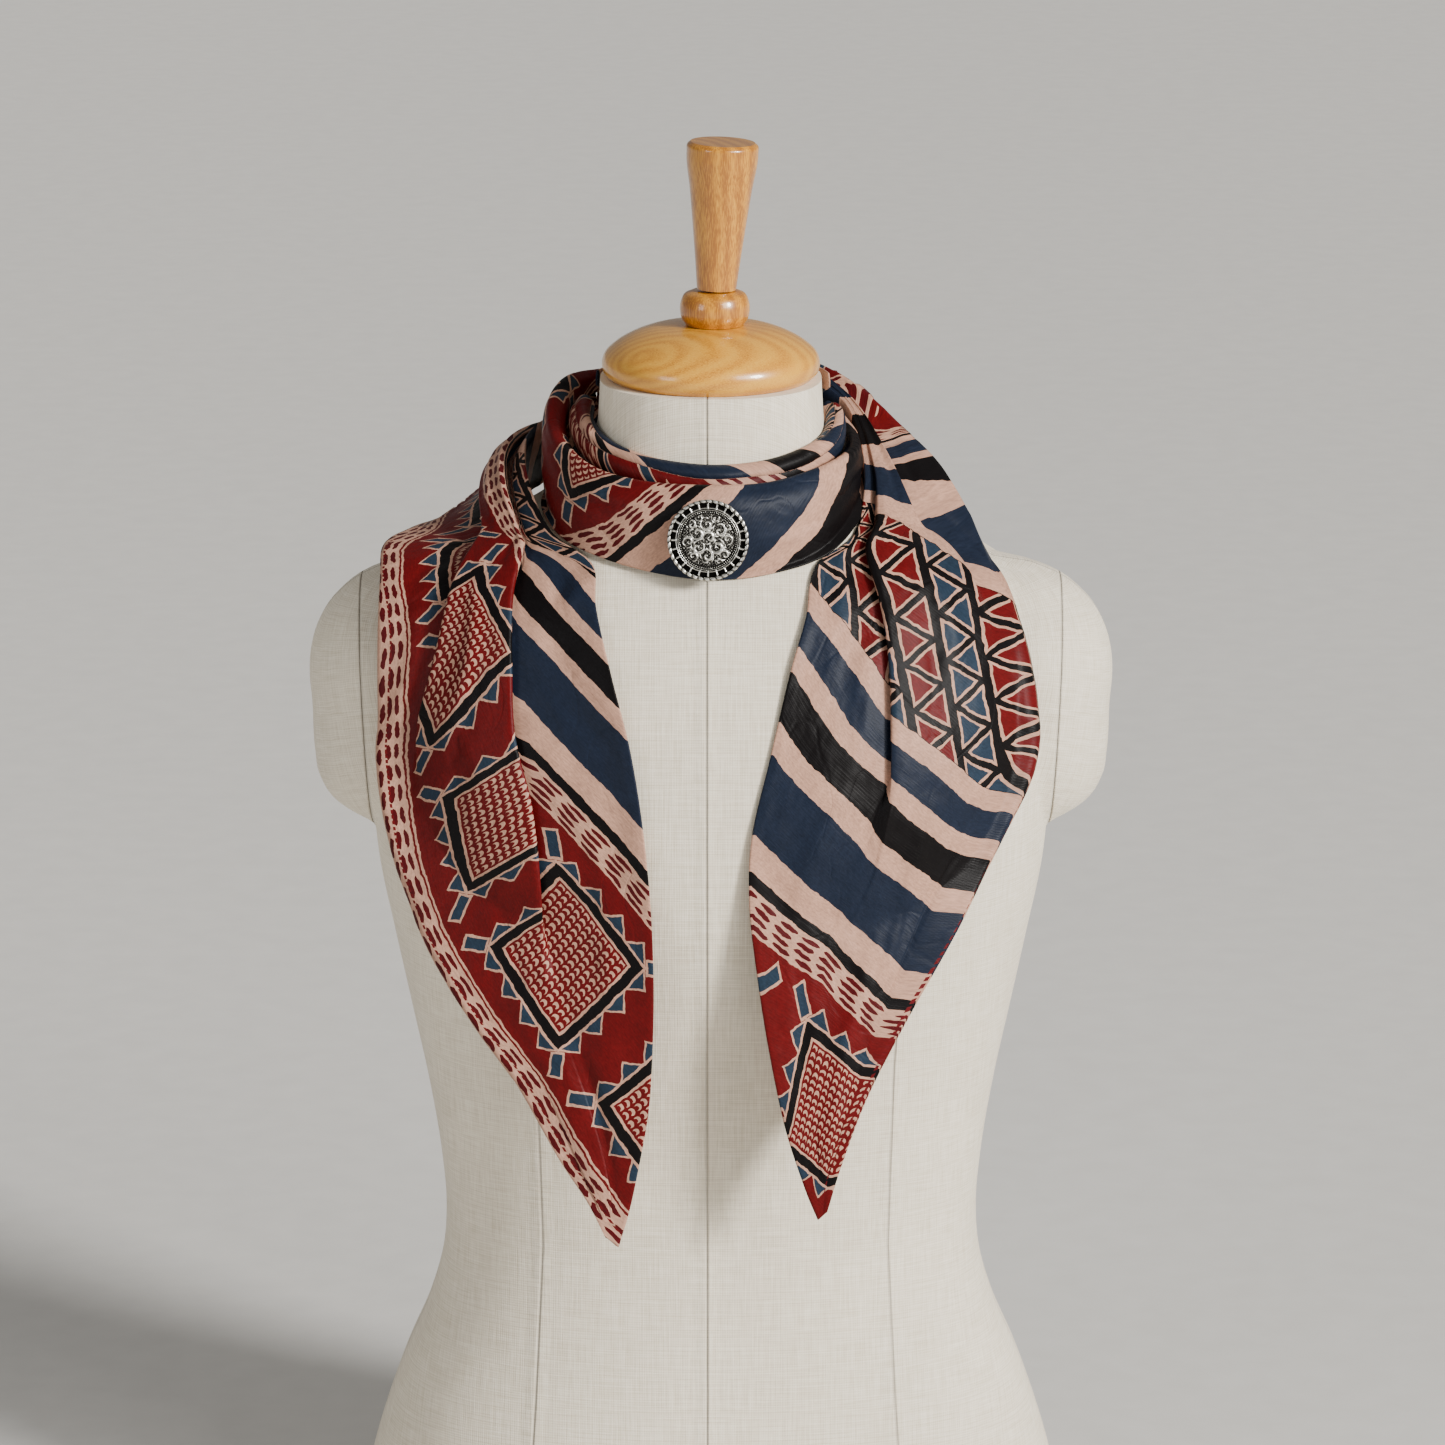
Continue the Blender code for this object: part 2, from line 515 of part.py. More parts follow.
def arch_section(row):
    """Give the points of the inner roll's section from its outer foot to its inner foot."""
    outer_r, outer_z, crown_r, crown_z, inner_r, inner_z = row
    shoulder = crown_z - (outer_r - inner_r) * ARCH_ROUND
    return np.array([(outer_r, outer_z), (outer_r - ARCH_LEAN, shoulder), (crown_r, crown_z),
                     (inner_r + ARCH_LEAN, shoulder), (inner_r, inner_z)])


def wrap_section(row):
    """Give the points of a plain band's section from its low edge to its top."""
    return row.reshape(-1, 2)


def collar_grid(table, section, column_count, row_count):
    """Work out a band round the neck: rows by angle, columns along the band's section."""
    knots = table[:, 0]
    angles = np.linspace(knots[0], knots[-1], row_count)
    points = []
    for angle, row in zip(np.radians(angles), smooth_between(knots, table[:, 1:], angles)):
        profile = chord_curve(section(row) * MM, column_count)
        points.append(np.stack([profile[:, 0] * math.sin(angle), -profile[:, 0] * math.cos(angle),
                                profile[:, 1]], axis=-1))
    return keep_clear(np.array(points), CLOTH_CLEARANCE)


def build_body_mesh(finish):
    """Loft the whole form, torso and arm caps in one, through its level rings."""
    turn = np.linspace(0.0, 2.0 * math.pi, FORM_SIDES, endpoint=False)
    angles = turn - FORM_SIDE_PULL * np.sin(2.0 * turn) / 2.0
    vertices = []
    for height in FORM_RINGS:
        radius = form_radius(angles, np.full_like(angles, height))
        vertices += list(np.stack([radius * np.cos(angles), radius * np.sin(angles),
                                   np.full_like(angles, height)], axis=-1))
    faces = []
    for ring in range(len(FORM_RINGS) - 1):
        for place in range(FORM_SIDES):
            after = (place + 1) % FORM_SIDES
            faces.append((ring * FORM_SIDES + place, ring * FORM_SIDES + after,
                          (ring + 1) * FORM_SIDES + after, (ring + 1) * FORM_SIDES + place))
    faces.append(tuple(reversed(range(FORM_SIDES))))
    faces.append(tuple(range(len(vertices) - FORM_SIDES, len(vertices))))
    return add_mesh("form_torso", vertices, faces, finish)


def box_points(low, high):
    """Give the corners of a box between two opposite corners."""
    return [(across, along, up) for across in (low[0], high[0]) for along in (low[1], high[1])
            for up in (low[2], high[2])]


def add_cutter(name, side, gap):
    """Make the box that lies outside one armhole's seam plane."""
    low = (0.0, -CUTTER_SIZE, -CUTTER_SIZE)
    high = (CUTTER_SIZE, CUTTER_SIZE, CUTTER_SIZE)
    mesh = bpy.data.meshes.new(name)
    mesh.from_pydata(box_points(low, high), [], BOX_FACES)
    cutter = bpy.data.objects.new(name, mesh)
    place = Matrix.Translation((side * (ARM_CAP_SEAM_TOP + gap), 0.0, ARM_CAP_SECTIONS[-1, 0]))
    facing = Matrix.Rotation(0.0 if side > 0 else math.pi, 4, "Z")
    cutter.matrix_world = place @ facing @ Matrix.Rotation(ARM_CAP_SEAM_LEAN, 4, "Y")
    cutter.hide_render = True
    cutter.display_type = "WIRE"
    bpy.context.scene.collection.objects.link(cutter)
    return cutter


def add_boolean(thing, cutter, operation):
    """Cut a thing with a cutter by Blender's exact solver."""
    cut = thing.modifiers.new(cutter.name, "BOOLEAN")
    cut.object = cutter
    cut.operation = operation
    cut.solver = "EXACT"


def build_form(linen):
    """Make the torso and its two arm caps, split along the armhole seams."""
    torso = build_body_mesh(linen)
    for side, word in ((-1, "left"), (1, "right")):
        cap = bpy.data.objects.new("form_arm_cap_" + word, torso.data.copy())
        bpy.context.scene.collection.objects.link(cap)
        add_boolean(cap, add_cutter("cutter_cap_" + word, side, SEAM_GAP), "INTERSECT")
        add_boolean(torso, add_cutter("cutter_torso_" + word, side, 0.0), "DIFFERENCE")


def add_turned(name, profile, finish, centre=0.0, lean=0.0, steps=40):
    """Turn a profile of radius and height about an upright axis, closed at both ends."""
    pivot = profile[-1][1] * MM
    vertices = []
    for radius, height in profile:
        for step in range(steps):
            angle = 2.0 * math.pi * step / steps
            vertices.append(Vector((radius * MM * math.cos(angle), radius * MM * math.sin(angle),
                                    height * MM - pivot)))
    turn = Matrix.Rotation(lean, 4, "Y")
    place = Vector((centre * MM, 0.0, pivot))
    vertices = [turn @ point + place for point in vertices]
    faces = [tuple(range(steps))]
    for ring in range(len(profile) - 1):
        for step in range(steps):
            after = (step + 1) % steps
            faces.append((ring * steps + step, (ring + 1) * steps + step,
                          (ring + 1) * steps + after, ring * steps + after))
    faces.append(tuple(reversed(range((len(profile) - 1) * steps, len(profile) * steps))))
    return add_mesh(name, vertices, turn_outward([np.array(point) for point in vertices], faces), finish)


def build_wood(wood):
    """Make the turned dome, bead and handle on the neck."""
    add_turned("form_neck_cap", NECK_CAP_PROFILE, wood, steps=40)
    add_turned("finial_bead", BEAD_PROFILE, wood, BEAD_PLACE, steps=24)
    add_turned("finial_handle", HANDLE_PROFILE, wood, HANDLE_PLACE, FINIAL_LEAN, 24)


def build_scarf(cloth):
    """Make each stretch of the scarf that shows."""
    samples = np.array(ROW_SAMPLES)
    for word, table, section, columns, rows in (("front", COLLAR_FRONT, band_section, 13, 29),
                                                ("inner", COLLAR_INNER, arch_section, 8, 21),
                                                ("back", COLLAR_BACK, wrap_section, 5, 15)):
        add_wall("scarf_collar_" + word, collar_grid(table, section, columns, rows), 1.0, cloth)
    for word, table, pleats, outward in (("left", TAIL_LEFT, PLEATS_LEFT, 1.0),
                                         ("right", TAIL_RIGHT, PLEATS_RIGHT, -1.0)):
        grid = tail_grid(table, pleats, outward, TAIL_ROWS, samples)
        add_wall("scarf_tail_" + word, grid, outward, cloth)


def brooch_frame():
    """Give the place of the brooch: its own +Z points away from the cloth."""
    return Matrix.Translation(BROOCH_CENTRE) @ Matrix.Rotation(math.pi / 2.0 - BROOCH_TILT, 4, "X")


def add_brooch_piece(name, vertices, faces, silver):
    """Make one piece of the brooch from points in the brooch's own frame."""
    piece = add_mesh(name, vertices, turn_outward([np.array(point) for point in vertices], faces), silver)
    piece.matrix_world = brooch_frame()
    return piece


def ring_point(radius, angle, level):
    """Place a point at a radius, an angle and a level in the brooch's own frame."""
    return (radius * math.cos(angle), radius * math.sin(angle), level)


def build_plate(silver):
    """Make the round back plate."""
    steps = 32
    vertices = [ring_point(PLATE_RADIUS, 2.0 * math.pi * step / steps, level)
                for level in PLATE_LEVELS for step in range(steps)]
    faces = [tuple(reversed(range(steps))), tuple(range(steps, 2 * steps))]
    faces += [(step, (step + 1) % steps, steps + (step + 1) % steps, steps + step)
              for step in range(steps)]
    add_brooch_piece("brooch_plate", vertices, faces, silver)


def build_rim(silver):
    """Make the lumpy rope rim, a ring whose thickness rises and falls."""
    steps = RIM_LUMPS * 2
    sides = 5
    level = PLATE_LEVELS[1] + SEAM_GAP + RIM_SIZE
    vertices = []
    for step in range(steps):
        angle = 2.0 * math.pi * step / steps
        size = RIM_SIZE * (1.0 if step % 2 else 0.72)
        for side in range(sides):
            turn = 2.0 * math.pi * side / sides
            vertices.append(ring_point(RIM_RADIUS + size * math.cos(turn), angle,
                                       level + size * math.sin(turn)))
    faces = []
    for step in range(steps):
        after = (step + 1) % steps
        for side in range(sides):
            beside = (side + 1) % sides
            faces.append((step * sides + side, after * sides + side, after * sides + beside,
                          step * sides + beside))
    add_brooch_piece("brooch_rim", vertices, faces, silver)


def build_gallery(silver):
    """Make the inner ring with the bars that reach from it to the rim."""
    sector = 2.0 * math.pi / GALLERY_BARS
    edges = []
    for bar in range(GALLERY_BARS):
        edges += [(bar - GALLERY_BAR_SHARE / 2.0) * sector, (bar + GALLERY_BAR_SHARE / 2.0) * sector]
    count = len(edges)
    vertices = [ring_point(radius, angle, level)
                for level in GALLERY_LEVELS for radius in GALLERY_RADII for angle in edges]

    def corner(level, ring, place):
        return (level * len(GALLERY_RADII) + ring) * count + place % count

    faces = []
    for place in range(count):
        after = place + 1
        is_bar = place % 2 == 0
        outer = 2 if is_bar else 1
        for ring in range(outer):
            for level in (0, 1):
                faces.append(tuple(corner(level, *spot) for spot in
                                   ((ring, place), (ring + 1, place), (ring + 1, after), (ring, after))
                                   )[::1 if level else -1])
        faces.append((corner(1, 0, place), corner(1, 0, after), corner(0, 0, after), corner(0, 0, place)))
        faces.append((corner(0, outer, place), corner(0, outer, after), corner(1, outer, after),
                      corner(1, outer, place)))
        if is_bar:
            faces.append((corner(0, 1, place), corner(0, 2, place), corner(1, 2, place), corner(1, 1, place)))
            faces.append((corner(0, 2, after), corner(0, 1, after), corner(1, 1, after), corner(1, 2, after)))
    used = sorted({place for face in faces for place in face})
    renumber = {old: new for new, old in enumerate(used)}
    faces = [tuple(renumber[place] for place in face) for face in faces]
    add_brooch_piece("brooch_gallery", [vertices[place] for place in used], faces, silver)


def relief_level(share, angle):
    """Give the medallion's height: a low dome with a ring of leaves about a boss."""
    dome = (MEDALLION_LEVELS[1] - MEDALLION_LEVELS[0]) * (1.0 - share ** 4) + MEDALLION_LEVELS[0]
    leaves = 0.5 + 0.5 * math.cos(MEDALLION_LEAVES * angle)
    boss = max(0.0, 1.0 - 4.0 * share)
    return dome + RELIEF_HEIGHT * (leaves * math.sin(math.pi * share) + boss)


def build_medallion(silver):
    """Make the domed centre with its leaf relief."""
    steps = MEDALLION_LEAVES * 4
    rings = (0.2, 0.45, 0.7, 0.9, 1.0)
    vertices = [(0.0, 0.0, relief_level(0.0, 0.0))]
    for share in rings:
        for step in range(steps):
            angle = 2.0 * math.pi * step / steps
            level = relief_level(share, angle) if share < 1.0 else MEDALLION_LEVELS[0] + 0.0003
            vertices.append(ring_point(MEDALLION_RADIUS * share, angle, level))
    vertices += [ring_point(MEDALLION_RADIUS, 2.0 * math.pi * step / steps, MEDALLION_LEVELS[0])
                 for step in range(steps)]
    faces = [(0, 1 + step, 1 + (step + 1) % steps) for step in range(steps)]
    for ring in range(len(rings)):
        for step in range(steps):
            after = (step + 1) % steps
            faces.append((1 + ring * steps + step, 1 + (ring + 1) * steps + step,
                          1 + (ring + 1) * steps + after, 1 + ring * steps + after))
    faces.append(tuple(1 + len(rings) * steps + step for step in reversed(range(steps))))
    add_brooch_piece("brooch_medallion", vertices, faces, silver)


def build_pin(silver):
    """Make the pin with its hinge block and catch, behind the plate."""
    block = PIN_BLOCK
    top = PLATE_LEVELS[0] - SEAM_GAP
    half = PIN_LENGTH / 2.0
    level = SEAM_GAP + 2.0 * PIN_RADIUS
    bar = box_points((-half, -PIN_RADIUS, SEAM_GAP), (half, PIN_RADIUS, level))
    pin = add_brooch_piece("brooch_pin", bar, BOX_FACES, silver)
    for word, side in (("hinge", -1.0), ("catch", 1.0)):
        middle = side * (half - block.x / 2.0)
        low = (middle - block.x / 2.0 - PIN_OVERLAP, -block.y / 2.0, level - 2.0 * PIN_OVERLAP)
        high = (middle + block.x / 2.0 + PIN_OVERLAP, block.y / 2.0, top)
        cutter = add_brooch_piece("guide_" + word, box_points(low, high), BOX_FACES, silver)
        cutter.hide_render = True
        cutter.display_type = "WIRE"
        add_boolean(pin, cutter, "UNION")


def build_brooch(silver):
    """Make every piece of the brooch."""
    build_plate(silver)
    build_rim(silver)
    build_gallery(silver)
    build_medallion(silver)
    build_pin(silver)


def main():
    """Build the whole part."""
    clear_scene()
    linen = material("linen", "#c6c0b7", 0.9)
    wood = material("varnished wood", "#c8983f", 0.3)
    cloth = material("printed cloth", "#7d1a1c", 0.55)
    silver = material("oxidised silver", "#8c8d86", 0.35, 1.0)
    build_form(linen)
    build_wood(wood)
    build_scarf(cloth)
    build_brooch(silver)


main()
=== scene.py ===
"""The looks of a printed square scarf with a round brooch, worn on a limbless linen dress form.

Metres, +Z up, the form's front faces -Y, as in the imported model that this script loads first.
The tables are in millimetres from the middle of the form's flat base, as in the part's own source.
"""

import functools
import math

import bmesh
import bpy
import numpy as np
from mathutils import Matrix, Vector


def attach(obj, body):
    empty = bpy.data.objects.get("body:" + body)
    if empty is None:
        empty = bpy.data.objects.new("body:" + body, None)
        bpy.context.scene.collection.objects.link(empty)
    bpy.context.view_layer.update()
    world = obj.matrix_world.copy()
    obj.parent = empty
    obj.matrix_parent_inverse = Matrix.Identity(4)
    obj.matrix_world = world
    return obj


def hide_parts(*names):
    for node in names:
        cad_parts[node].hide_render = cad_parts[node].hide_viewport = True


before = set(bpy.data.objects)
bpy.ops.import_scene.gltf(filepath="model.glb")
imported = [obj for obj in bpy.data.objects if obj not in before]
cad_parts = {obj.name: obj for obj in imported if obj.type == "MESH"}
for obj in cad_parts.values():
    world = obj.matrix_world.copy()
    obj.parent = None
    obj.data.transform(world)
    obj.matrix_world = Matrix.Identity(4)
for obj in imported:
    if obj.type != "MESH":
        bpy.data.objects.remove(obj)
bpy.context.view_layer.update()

# Driving sizes, in metres
MM = 0.001
CLOTH_CLEARANCE = 0.0018
ARM_CAP_SEAM_TOP = 0.1735
ARM_CAP_SEAM_LEAN = math.radians(2.3)
ARM_CAP_FLOOR = 0.385
ARMHOLE_GAP = 0.0003
FINIAL_LEAN = math.radians(2.5)

# How points are kept clear of the form: passes, the step that feels its slope, the least slope
CLEAR_PASSES = 8
SLOPE_STEP = 0.0005
LEAST_SLOPE = 0.2

# The form's level sections: height, half width, depth to the front and to the back
FORM_SECTIONS = np.array([
    # z, half, front, back
    (0, 184, 112, 122),
    (30, 181, 111, 121),
    (66, 173.5, 107, 117),
    (91, 166, 103, 112),
    (119, 156, 98, 105),
    (146, 144.5, 94, 97),
    (173, 137, 91, 91),
    (200, 135, 90, 88),
    (227, 137, 92, 89),
    (267, 143, 99, 94),
    (307, 151, 108, 100),
    (347, 159, 119, 104),
    (387, 166.5, 127, 107),
    (420, 169, 129, 109),
    (450, 169, 126, 110),
    (480, 167, 118, 110),
    (505, 162, 107, 106),
    (522, 155, 97, 100),
    (533, 145, 89, 94),
    (542, 129, 82, 88),
    (552, 108, 75, 81),
    (563, 88, 68, 74),
    (575, 73, 62, 68),
    (588, 62.5, 57.5, 62),
    (602, 56.5, 55.5, 58),
    (616, 55, 55, 56),
    (626.3, 54.5, 54.5, 55),
]) * MM
FORM_POWER = 2.3

# The padded caps over the armholes: height, how far out they reach, half depth front to back
ARM_CAP_CENTRE = 0.150
ARM_CAP_SECTIONS = np.array([
    # z, reach, half depth
    (392, 151, 4),
    (400, 167, 22),
    (412, 187.5, 38),
    (425, 196, 48),
    (438, 198, 54),
    (464, 199, 59),
    (477, 200, 59.5),
    (490, 199, 58),
    (503, 195, 52),
    (516, 186.5, 40),
    (528, 171, 24),
    (536, 151, 5),
]) * MM

# The wooden pieces' outer profiles, from the top down: radius and height
NECK_CAP_PROFILE = [(19, 652.4), (30, 650.8), (40, 647.2), (48, 642.4),
                    (52.4, 638), (53.7, 633.6), (52.8, 629.4), (50, 626.6)]
BEAD_PROFILE = [(11.5, 669.4), (15, 667.8), (16.8, 664), (17.2, 660), (16.4, 656), (14.2, 652.7)]
BEAD_PLACE = 2.0
HANDLE_PROFILE = [(15.8, 743), (17.4, 741.6), (17.6, 738), (15.2, 719), (12.9, 700),
                  (11, 683), (9.7, 670.3)]
HANDLE_PLACE = 2.8

# The outer band of the collar, by the angle round the neck from its front, negative to -X.
# Its section is given by distances from the neck's axis and heights, and ends in a rolled crest.
COLLAR_FRONT = np.array([
    # angle, low r, low z, middle r, middle z, crest r, crest z, crest width, tuck
    (-128, 71.5, 601, 73.5, 610, 71, 621, 5, 10),
    (-112, 74.5, 592, 78, 604, 75, 621, 6.5, 13),
    (-98, 78, 577, 81.5, 595, 77, 615, 8, 15),
    (-84, 81, 566, 83, 584, 76.5, 604, 8.5, 14),
    (-68, 86, 561, 85.5, 578, 76, 597.5, 8.5, 13),
    (-48, 91, 556, 88.5, 572, 76.5, 592, 8.5, 12),
    (-27, 87.5, 549, 88, 567, 77.5, 589.5, 8, 12),
    (0, 83, 543.5, 86.5, 565, 78, 589, 7.5, 12),
    (20, 83.5, 544.5, 86.5, 566, 77.5, 589, 7.5, 12),
    (40, 86, 549.5, 85.5, 570, 76, 592, 7.5, 12),
    (62, 81, 561, 79, 577, 73, 594, 7, 12),
    (88, 73, 569, 73.5, 582, 69.5, 597, 6.5, 12),
    (120, 70, 577, 70, 591, 67, 607, 6, 12),
])

# The roll between the band and the neck: an arch from its outer foot to its inner foot
COLLAR_INNER = np.array([
    # angle, outer r, outer z, crown r, crown z, inner r, inner z
    (-103, 68.5, 600, 64, 614, 60, 603),
    (-90, 68, 597, 63.5, 611, 59.5, 600),
    (-72, 67.5, 592, 63, 607, 59, 597),
    (-50, 67.5, 586, 63, 601, 59.5, 591),
    (-25, 67.5, 582, 63, 597, 59.5, 588),
    (0, 67.5, 580, 63, 595, 59.5, 587),
    (25, 67.5, 581, 63, 596, 59.5, 588),
    (50, 66.5, 586, 62.5, 600, 59, 591),
    (72, 65.5, 590, 62, 604, 58.5, 595),
    (95, 64.5, 598, 61, 612, 57.5, 603),
])

# How the band's crest and the inner roll are rounded: shares of their widths, a lean in millimetres
CREST_ROUND = 0.4
CREST_TUCK = 0.6
ARCH_ROUND = 0.3
ARCH_LEAN = 0.3

# The wrap close behind the neck, its angle counted on past 180 degrees
COLLAR_BACK = np.array([
    # angle, low r, low z, middle r, middle z, top r, top z
    (104, 60.5, 618, 60.5, 621.5, 60, 625),
    (125, 60.8, 608, 61, 616, 60, 626),
    (150, 63, 597, 62.5, 611, 60.5, 627),
    (180, 65, 594, 63.5, 609, 60.5, 627),
    (210, 63, 598, 62.5, 612, 60.5, 627),
    (232, 60.8, 609, 61, 617, 60, 626),
    (250, 60.5, 618, 60.5, 621.5, 60, 625),
])

# The ends of the scarf. Each row crosses the cloth from its edge beside the body's middle,
# over its outer ridge, to the edge that is turned behind that ridge, from the tip upward.
TAIL_LEFT = np.array([
    # inner x, y, z, ridge x, y, z, under x, y, z
    (-46, -133, 221, -50.5, -133, 225, -51.5, -133, 225.5),
    (-41, -134, 238, -59, -132, 243, -60, -131.5, 243.5),
    (-36, -135, 262, -73, -129, 265, -74.2, -128.5, 265.5),
    (-31, -136, 292, -93, -124, 302, -94.2, -123, 302.5),
    (-29, -136, 325, -113, -116, 331, -114.2, -115, 331.5),
    (-28.5, -136, 358, -134, -103, 364, -135.2, -101.5, 364.5),
    (-30, -135, 397, -147.5, -90, 402, -148.4, -88.6, 402.5),
    (-34, -132, 437, -156.5, -78, 439, -157.3, -76.6, 439.5),
    (-40, -125, 472, -160.5, -70, 470, -161.2, -68.6, 470.3),
    (-48, -113, 501, -161, -62, 507, -161.7, -60.6, 507.3),
    (-56, -92, 531, -160.5, -44, 534, -161.4, -42.6, 534),
    (-58, -74, 549, -160, -19, 545.5, -161, -17.4, 544.5),
    (-78, -54, 561, -150, 4, 547.5, -151, 5.6, 546),
    (-90, -20, 580, -134, 25, 549, -135, 26.8, 547),
    (-91, 14, 593, -118, 46, 552, -119, 48, 550),
    (-78, 44, 598, -94, 65, 561, -94.8, 66.6, 558.5),
    (-52, 65, 599, -60, 79, 569, -60.5, 80, 566.5),
    (-18, 72, 599, -20, 83, 570, -20, 84, 567.5),
    (18, 72, 599, 19, 83, 570, 19, 84, 567.5),
])
TAIL_RIGHT = np.array([
    # inner x, y, z, ridge x, y, z, under x, y, z
    (53, -133, 235, 56, -133, 238, 56.8, -133, 238.5),
    (46.5, -134, 252, 62.5, -132, 261, 63.3, -131.5, 261.5),
    (37, -135, 283, 75.5, -128, 296, 76.5, -127.5, 296.5),
    (29, -136, 323, 94.5, -122, 333, 95.5, -121, 333.5),
    (23, -136, 363, 119.5, -108, 376, 120.5, -107, 376.5),
    (19.5, -134, 397, 139, -90, 415, 139.9, -88.6, 415.5),
    (21, -131, 429, 152.5, -75, 446, 153.3, -73.6, 446.5),
    (29.5, -124, 465, 155, -67, 473, 155.7, -65.4, 473.3),
    (39, -110, 503, 151, -57, 501, 151.8, -55.2, 501.2),
    (47, -94, 528, 143.5, -43, 525, 144.5, -38.5, 525),
    (51, -73.5, 547, 134.5, -23, 544, 135.5, -14, 542),
    (69, -54.5, 558, 127, -5, 561, 129, 12, 551),
    (75.5, -24.5, 575, 116, 12, 581, 120, 38, 556),
    (74.5, 8, 591, 99, 29, 597, 106, 60, 560),
    (68.5, 31.5, 604, 83.5, 39.5, 608, 90, 75, 563),
    (57.5, 44.5, 612, 68.5, 51.5, 616.5, 73.5, 86.5, 566),
    (41.5, 57, 617, 49.5, 66, 621, 53, 93, 568),
    (18.5, 67.5, 619, 21, 77, 623, 22.5, 97.5, 571),
    (-11.5, 67, 619, -12.5, 76.5, 623, -15, 94, 585),
    (-32, 61, 619, -35.5, 69, 622, -39.5, 80, 604),
    (-41, 49.5, 620, -48, 58, 621.5, -52.5, 63.5, 603),
    (-49.6, 40.1, 620.5, -56, 45.3, 620.5, -57.2, 45.9, 602),
])

# The two pleats of an end. The inward one's crease faces the body's middle and raises the
# cloth outside it; the outward one's faces the shoulder and lowers the cloth again. A place
# and a depth are shares of the width from the inner edge to the ridge, and a lift is the rise
# of one layer in millimetres.
PLEATS_LEFT = np.array([
    # row, inward place, depth, lift, outward place, depth, lift
    (0, 0.46, -0.12, 0, 0.72, -0.10, 0),
    (2, 0.48, -0.12, 0.1, 0.72, -0.10, 0),
    (3, 0.53, -0.11, 0.4, 0.74, -0.10, 0),
    (4, 0.56, -0.12, 0.8, 0.78, -0.10, 0),
    (5, 0.49, -0.04, 1.5, 0.80, -0.09, 0.1),
    (5.5, 0.455, 0.005, 2.1, 0.81, -0.085, 0.2),
    (6, 0.42, 0.05, 2.5, 0.82, -0.08, 0.3),
    (7, 0.385, 0.17, 2.7, 0.84, -0.06, 1),
    (8, 0.41, 0.23, 2.7, 0.83, 0.02, 2.3),
    (9, 0.395, 0.21, 2.8, 0.745, 0.08, 2.6),
    (10, 0.355, 0.16, 3, 0.66, 0.09, 2.9),
    (11, 0.30, 0.12, 3.4, 0.56, 0.09, 3.2),
    (12, 0.18, 0.11, 3.8, 0.44, 0.10, 3.5),
    (13, 0.16, 0.11, 4, 0.44, 0.12, 3.6),
    (14, 0.18, 0.11, 3.6, 0.46, 0.12, 3.2),
    (15, 0.22, 0.08, 2.7, 0.52, 0.08, 2.5),
    (16, 0.32, -0.05, 1.5, 0.62, -0.04, 1.4),
    (17, 0.44, -0.12, 0.5, 0.72, -0.10, 0.4),
    (18, 0.46, -0.12, 0.2, 0.72, -0.10, 0.2),
])
PLEATS_RIGHT = np.array([
    # row, inward place, depth, lift, outward place, depth, lift
    (0, 0.46, -0.12, 0, 0.72, -0.10, 0),
    (4, 0.46, -0.12, 0.1, 0.72, -0.10, 0),
    (5, 0.47, -0.11, 0.6, 0.74, -0.10, 0),
    (6, 0.455, -0.04, 1.8, 0.74, -0.10, 0.1),
    (7, 0.415, 0.07, 2.5, 0.74, -0.10, 0.3),
    (8, 0.38, 0.14, 2.7, 0.76, -0.09, 0.9),
    (9, 0.325, 0.16, 2.8, 0.78, -0.05, 1.9),
    (10, 0.25, 0.16, 3, 0.74, 0.06, 2.9),
    (11, 0.14, 0.12, 3, 0.52, 0.12, 3.2),
    (12, 0.12, 0.03, 1.6, 0.40, 0.10, 3),
    (13, 0.12, -0.03, 0.6, 0.34, 0.08, 2.8),
    (14, 0.14, -0.04, 0.3, 0.32, 0.06, 2.4),
    (15, 0.20, -0.06, 0.1, 0.38, 0.01, 1.6),
    (16.5, 0.40, -0.10, 0, 0.66, -0.08, 0.3),
    (21, 0.46, -0.12, 0, 0.72, -0.10, 0),
])
# Where the pleats turn, as samples across an end, and how softly
PLEAT_KNOTS = (0.34, 0.46, 0.72, 0.82)
TURN_WIDTH = 0.022
TURN_SPREAD = 1.5
SLOPE_SPREAD = 1.3
UNDER_END = 1.15
DEEP_PLEAT = 0.10
BASE_COLUMNS = 47
ROW_SAMPLES = (0, 0.09, 0.18, 0.27, 0.322, 0.34, 0.358, 0.385, 0.415, 0.442, 0.46, 0.478,
               0.52, 0.58, 0.64, 0.70, 0.72, 0.74, 0.77, 0.80, 0.82, 0.84, 0.88, 0.915, 0.94, 0.97, 1)

# The brooch: it stands on the collar's front, tilted back a little, and its pieces lie on each
# other outward from the cloth
BROOCH_CENTRE = Vector((-0.0012, -0.0877, 0.5647))
BROOCH_TILT = math.radians(8)
PLATE_TOP = 0.0032
RIM_RADIUS = 0.0188
RIM_SIZE = 0.00095
RIM_LIFT = 0.0003
RIM_LUMPS = 20
GALLERY_RADII = (0.0150, 0.0176)
GALLERY_FLOOR = 0.0035
GALLERY_BED = 0.0001
GALLERY_RELIEF = 0.0009
GALLERY_BARS = 24
MEDALLION_RADIUS = 0.0147
MEDALLION_LEVELS = (0.0035, 0.0046)
MEDALLION_RELIEF = 0.0013
BEAD_COUNT = 84
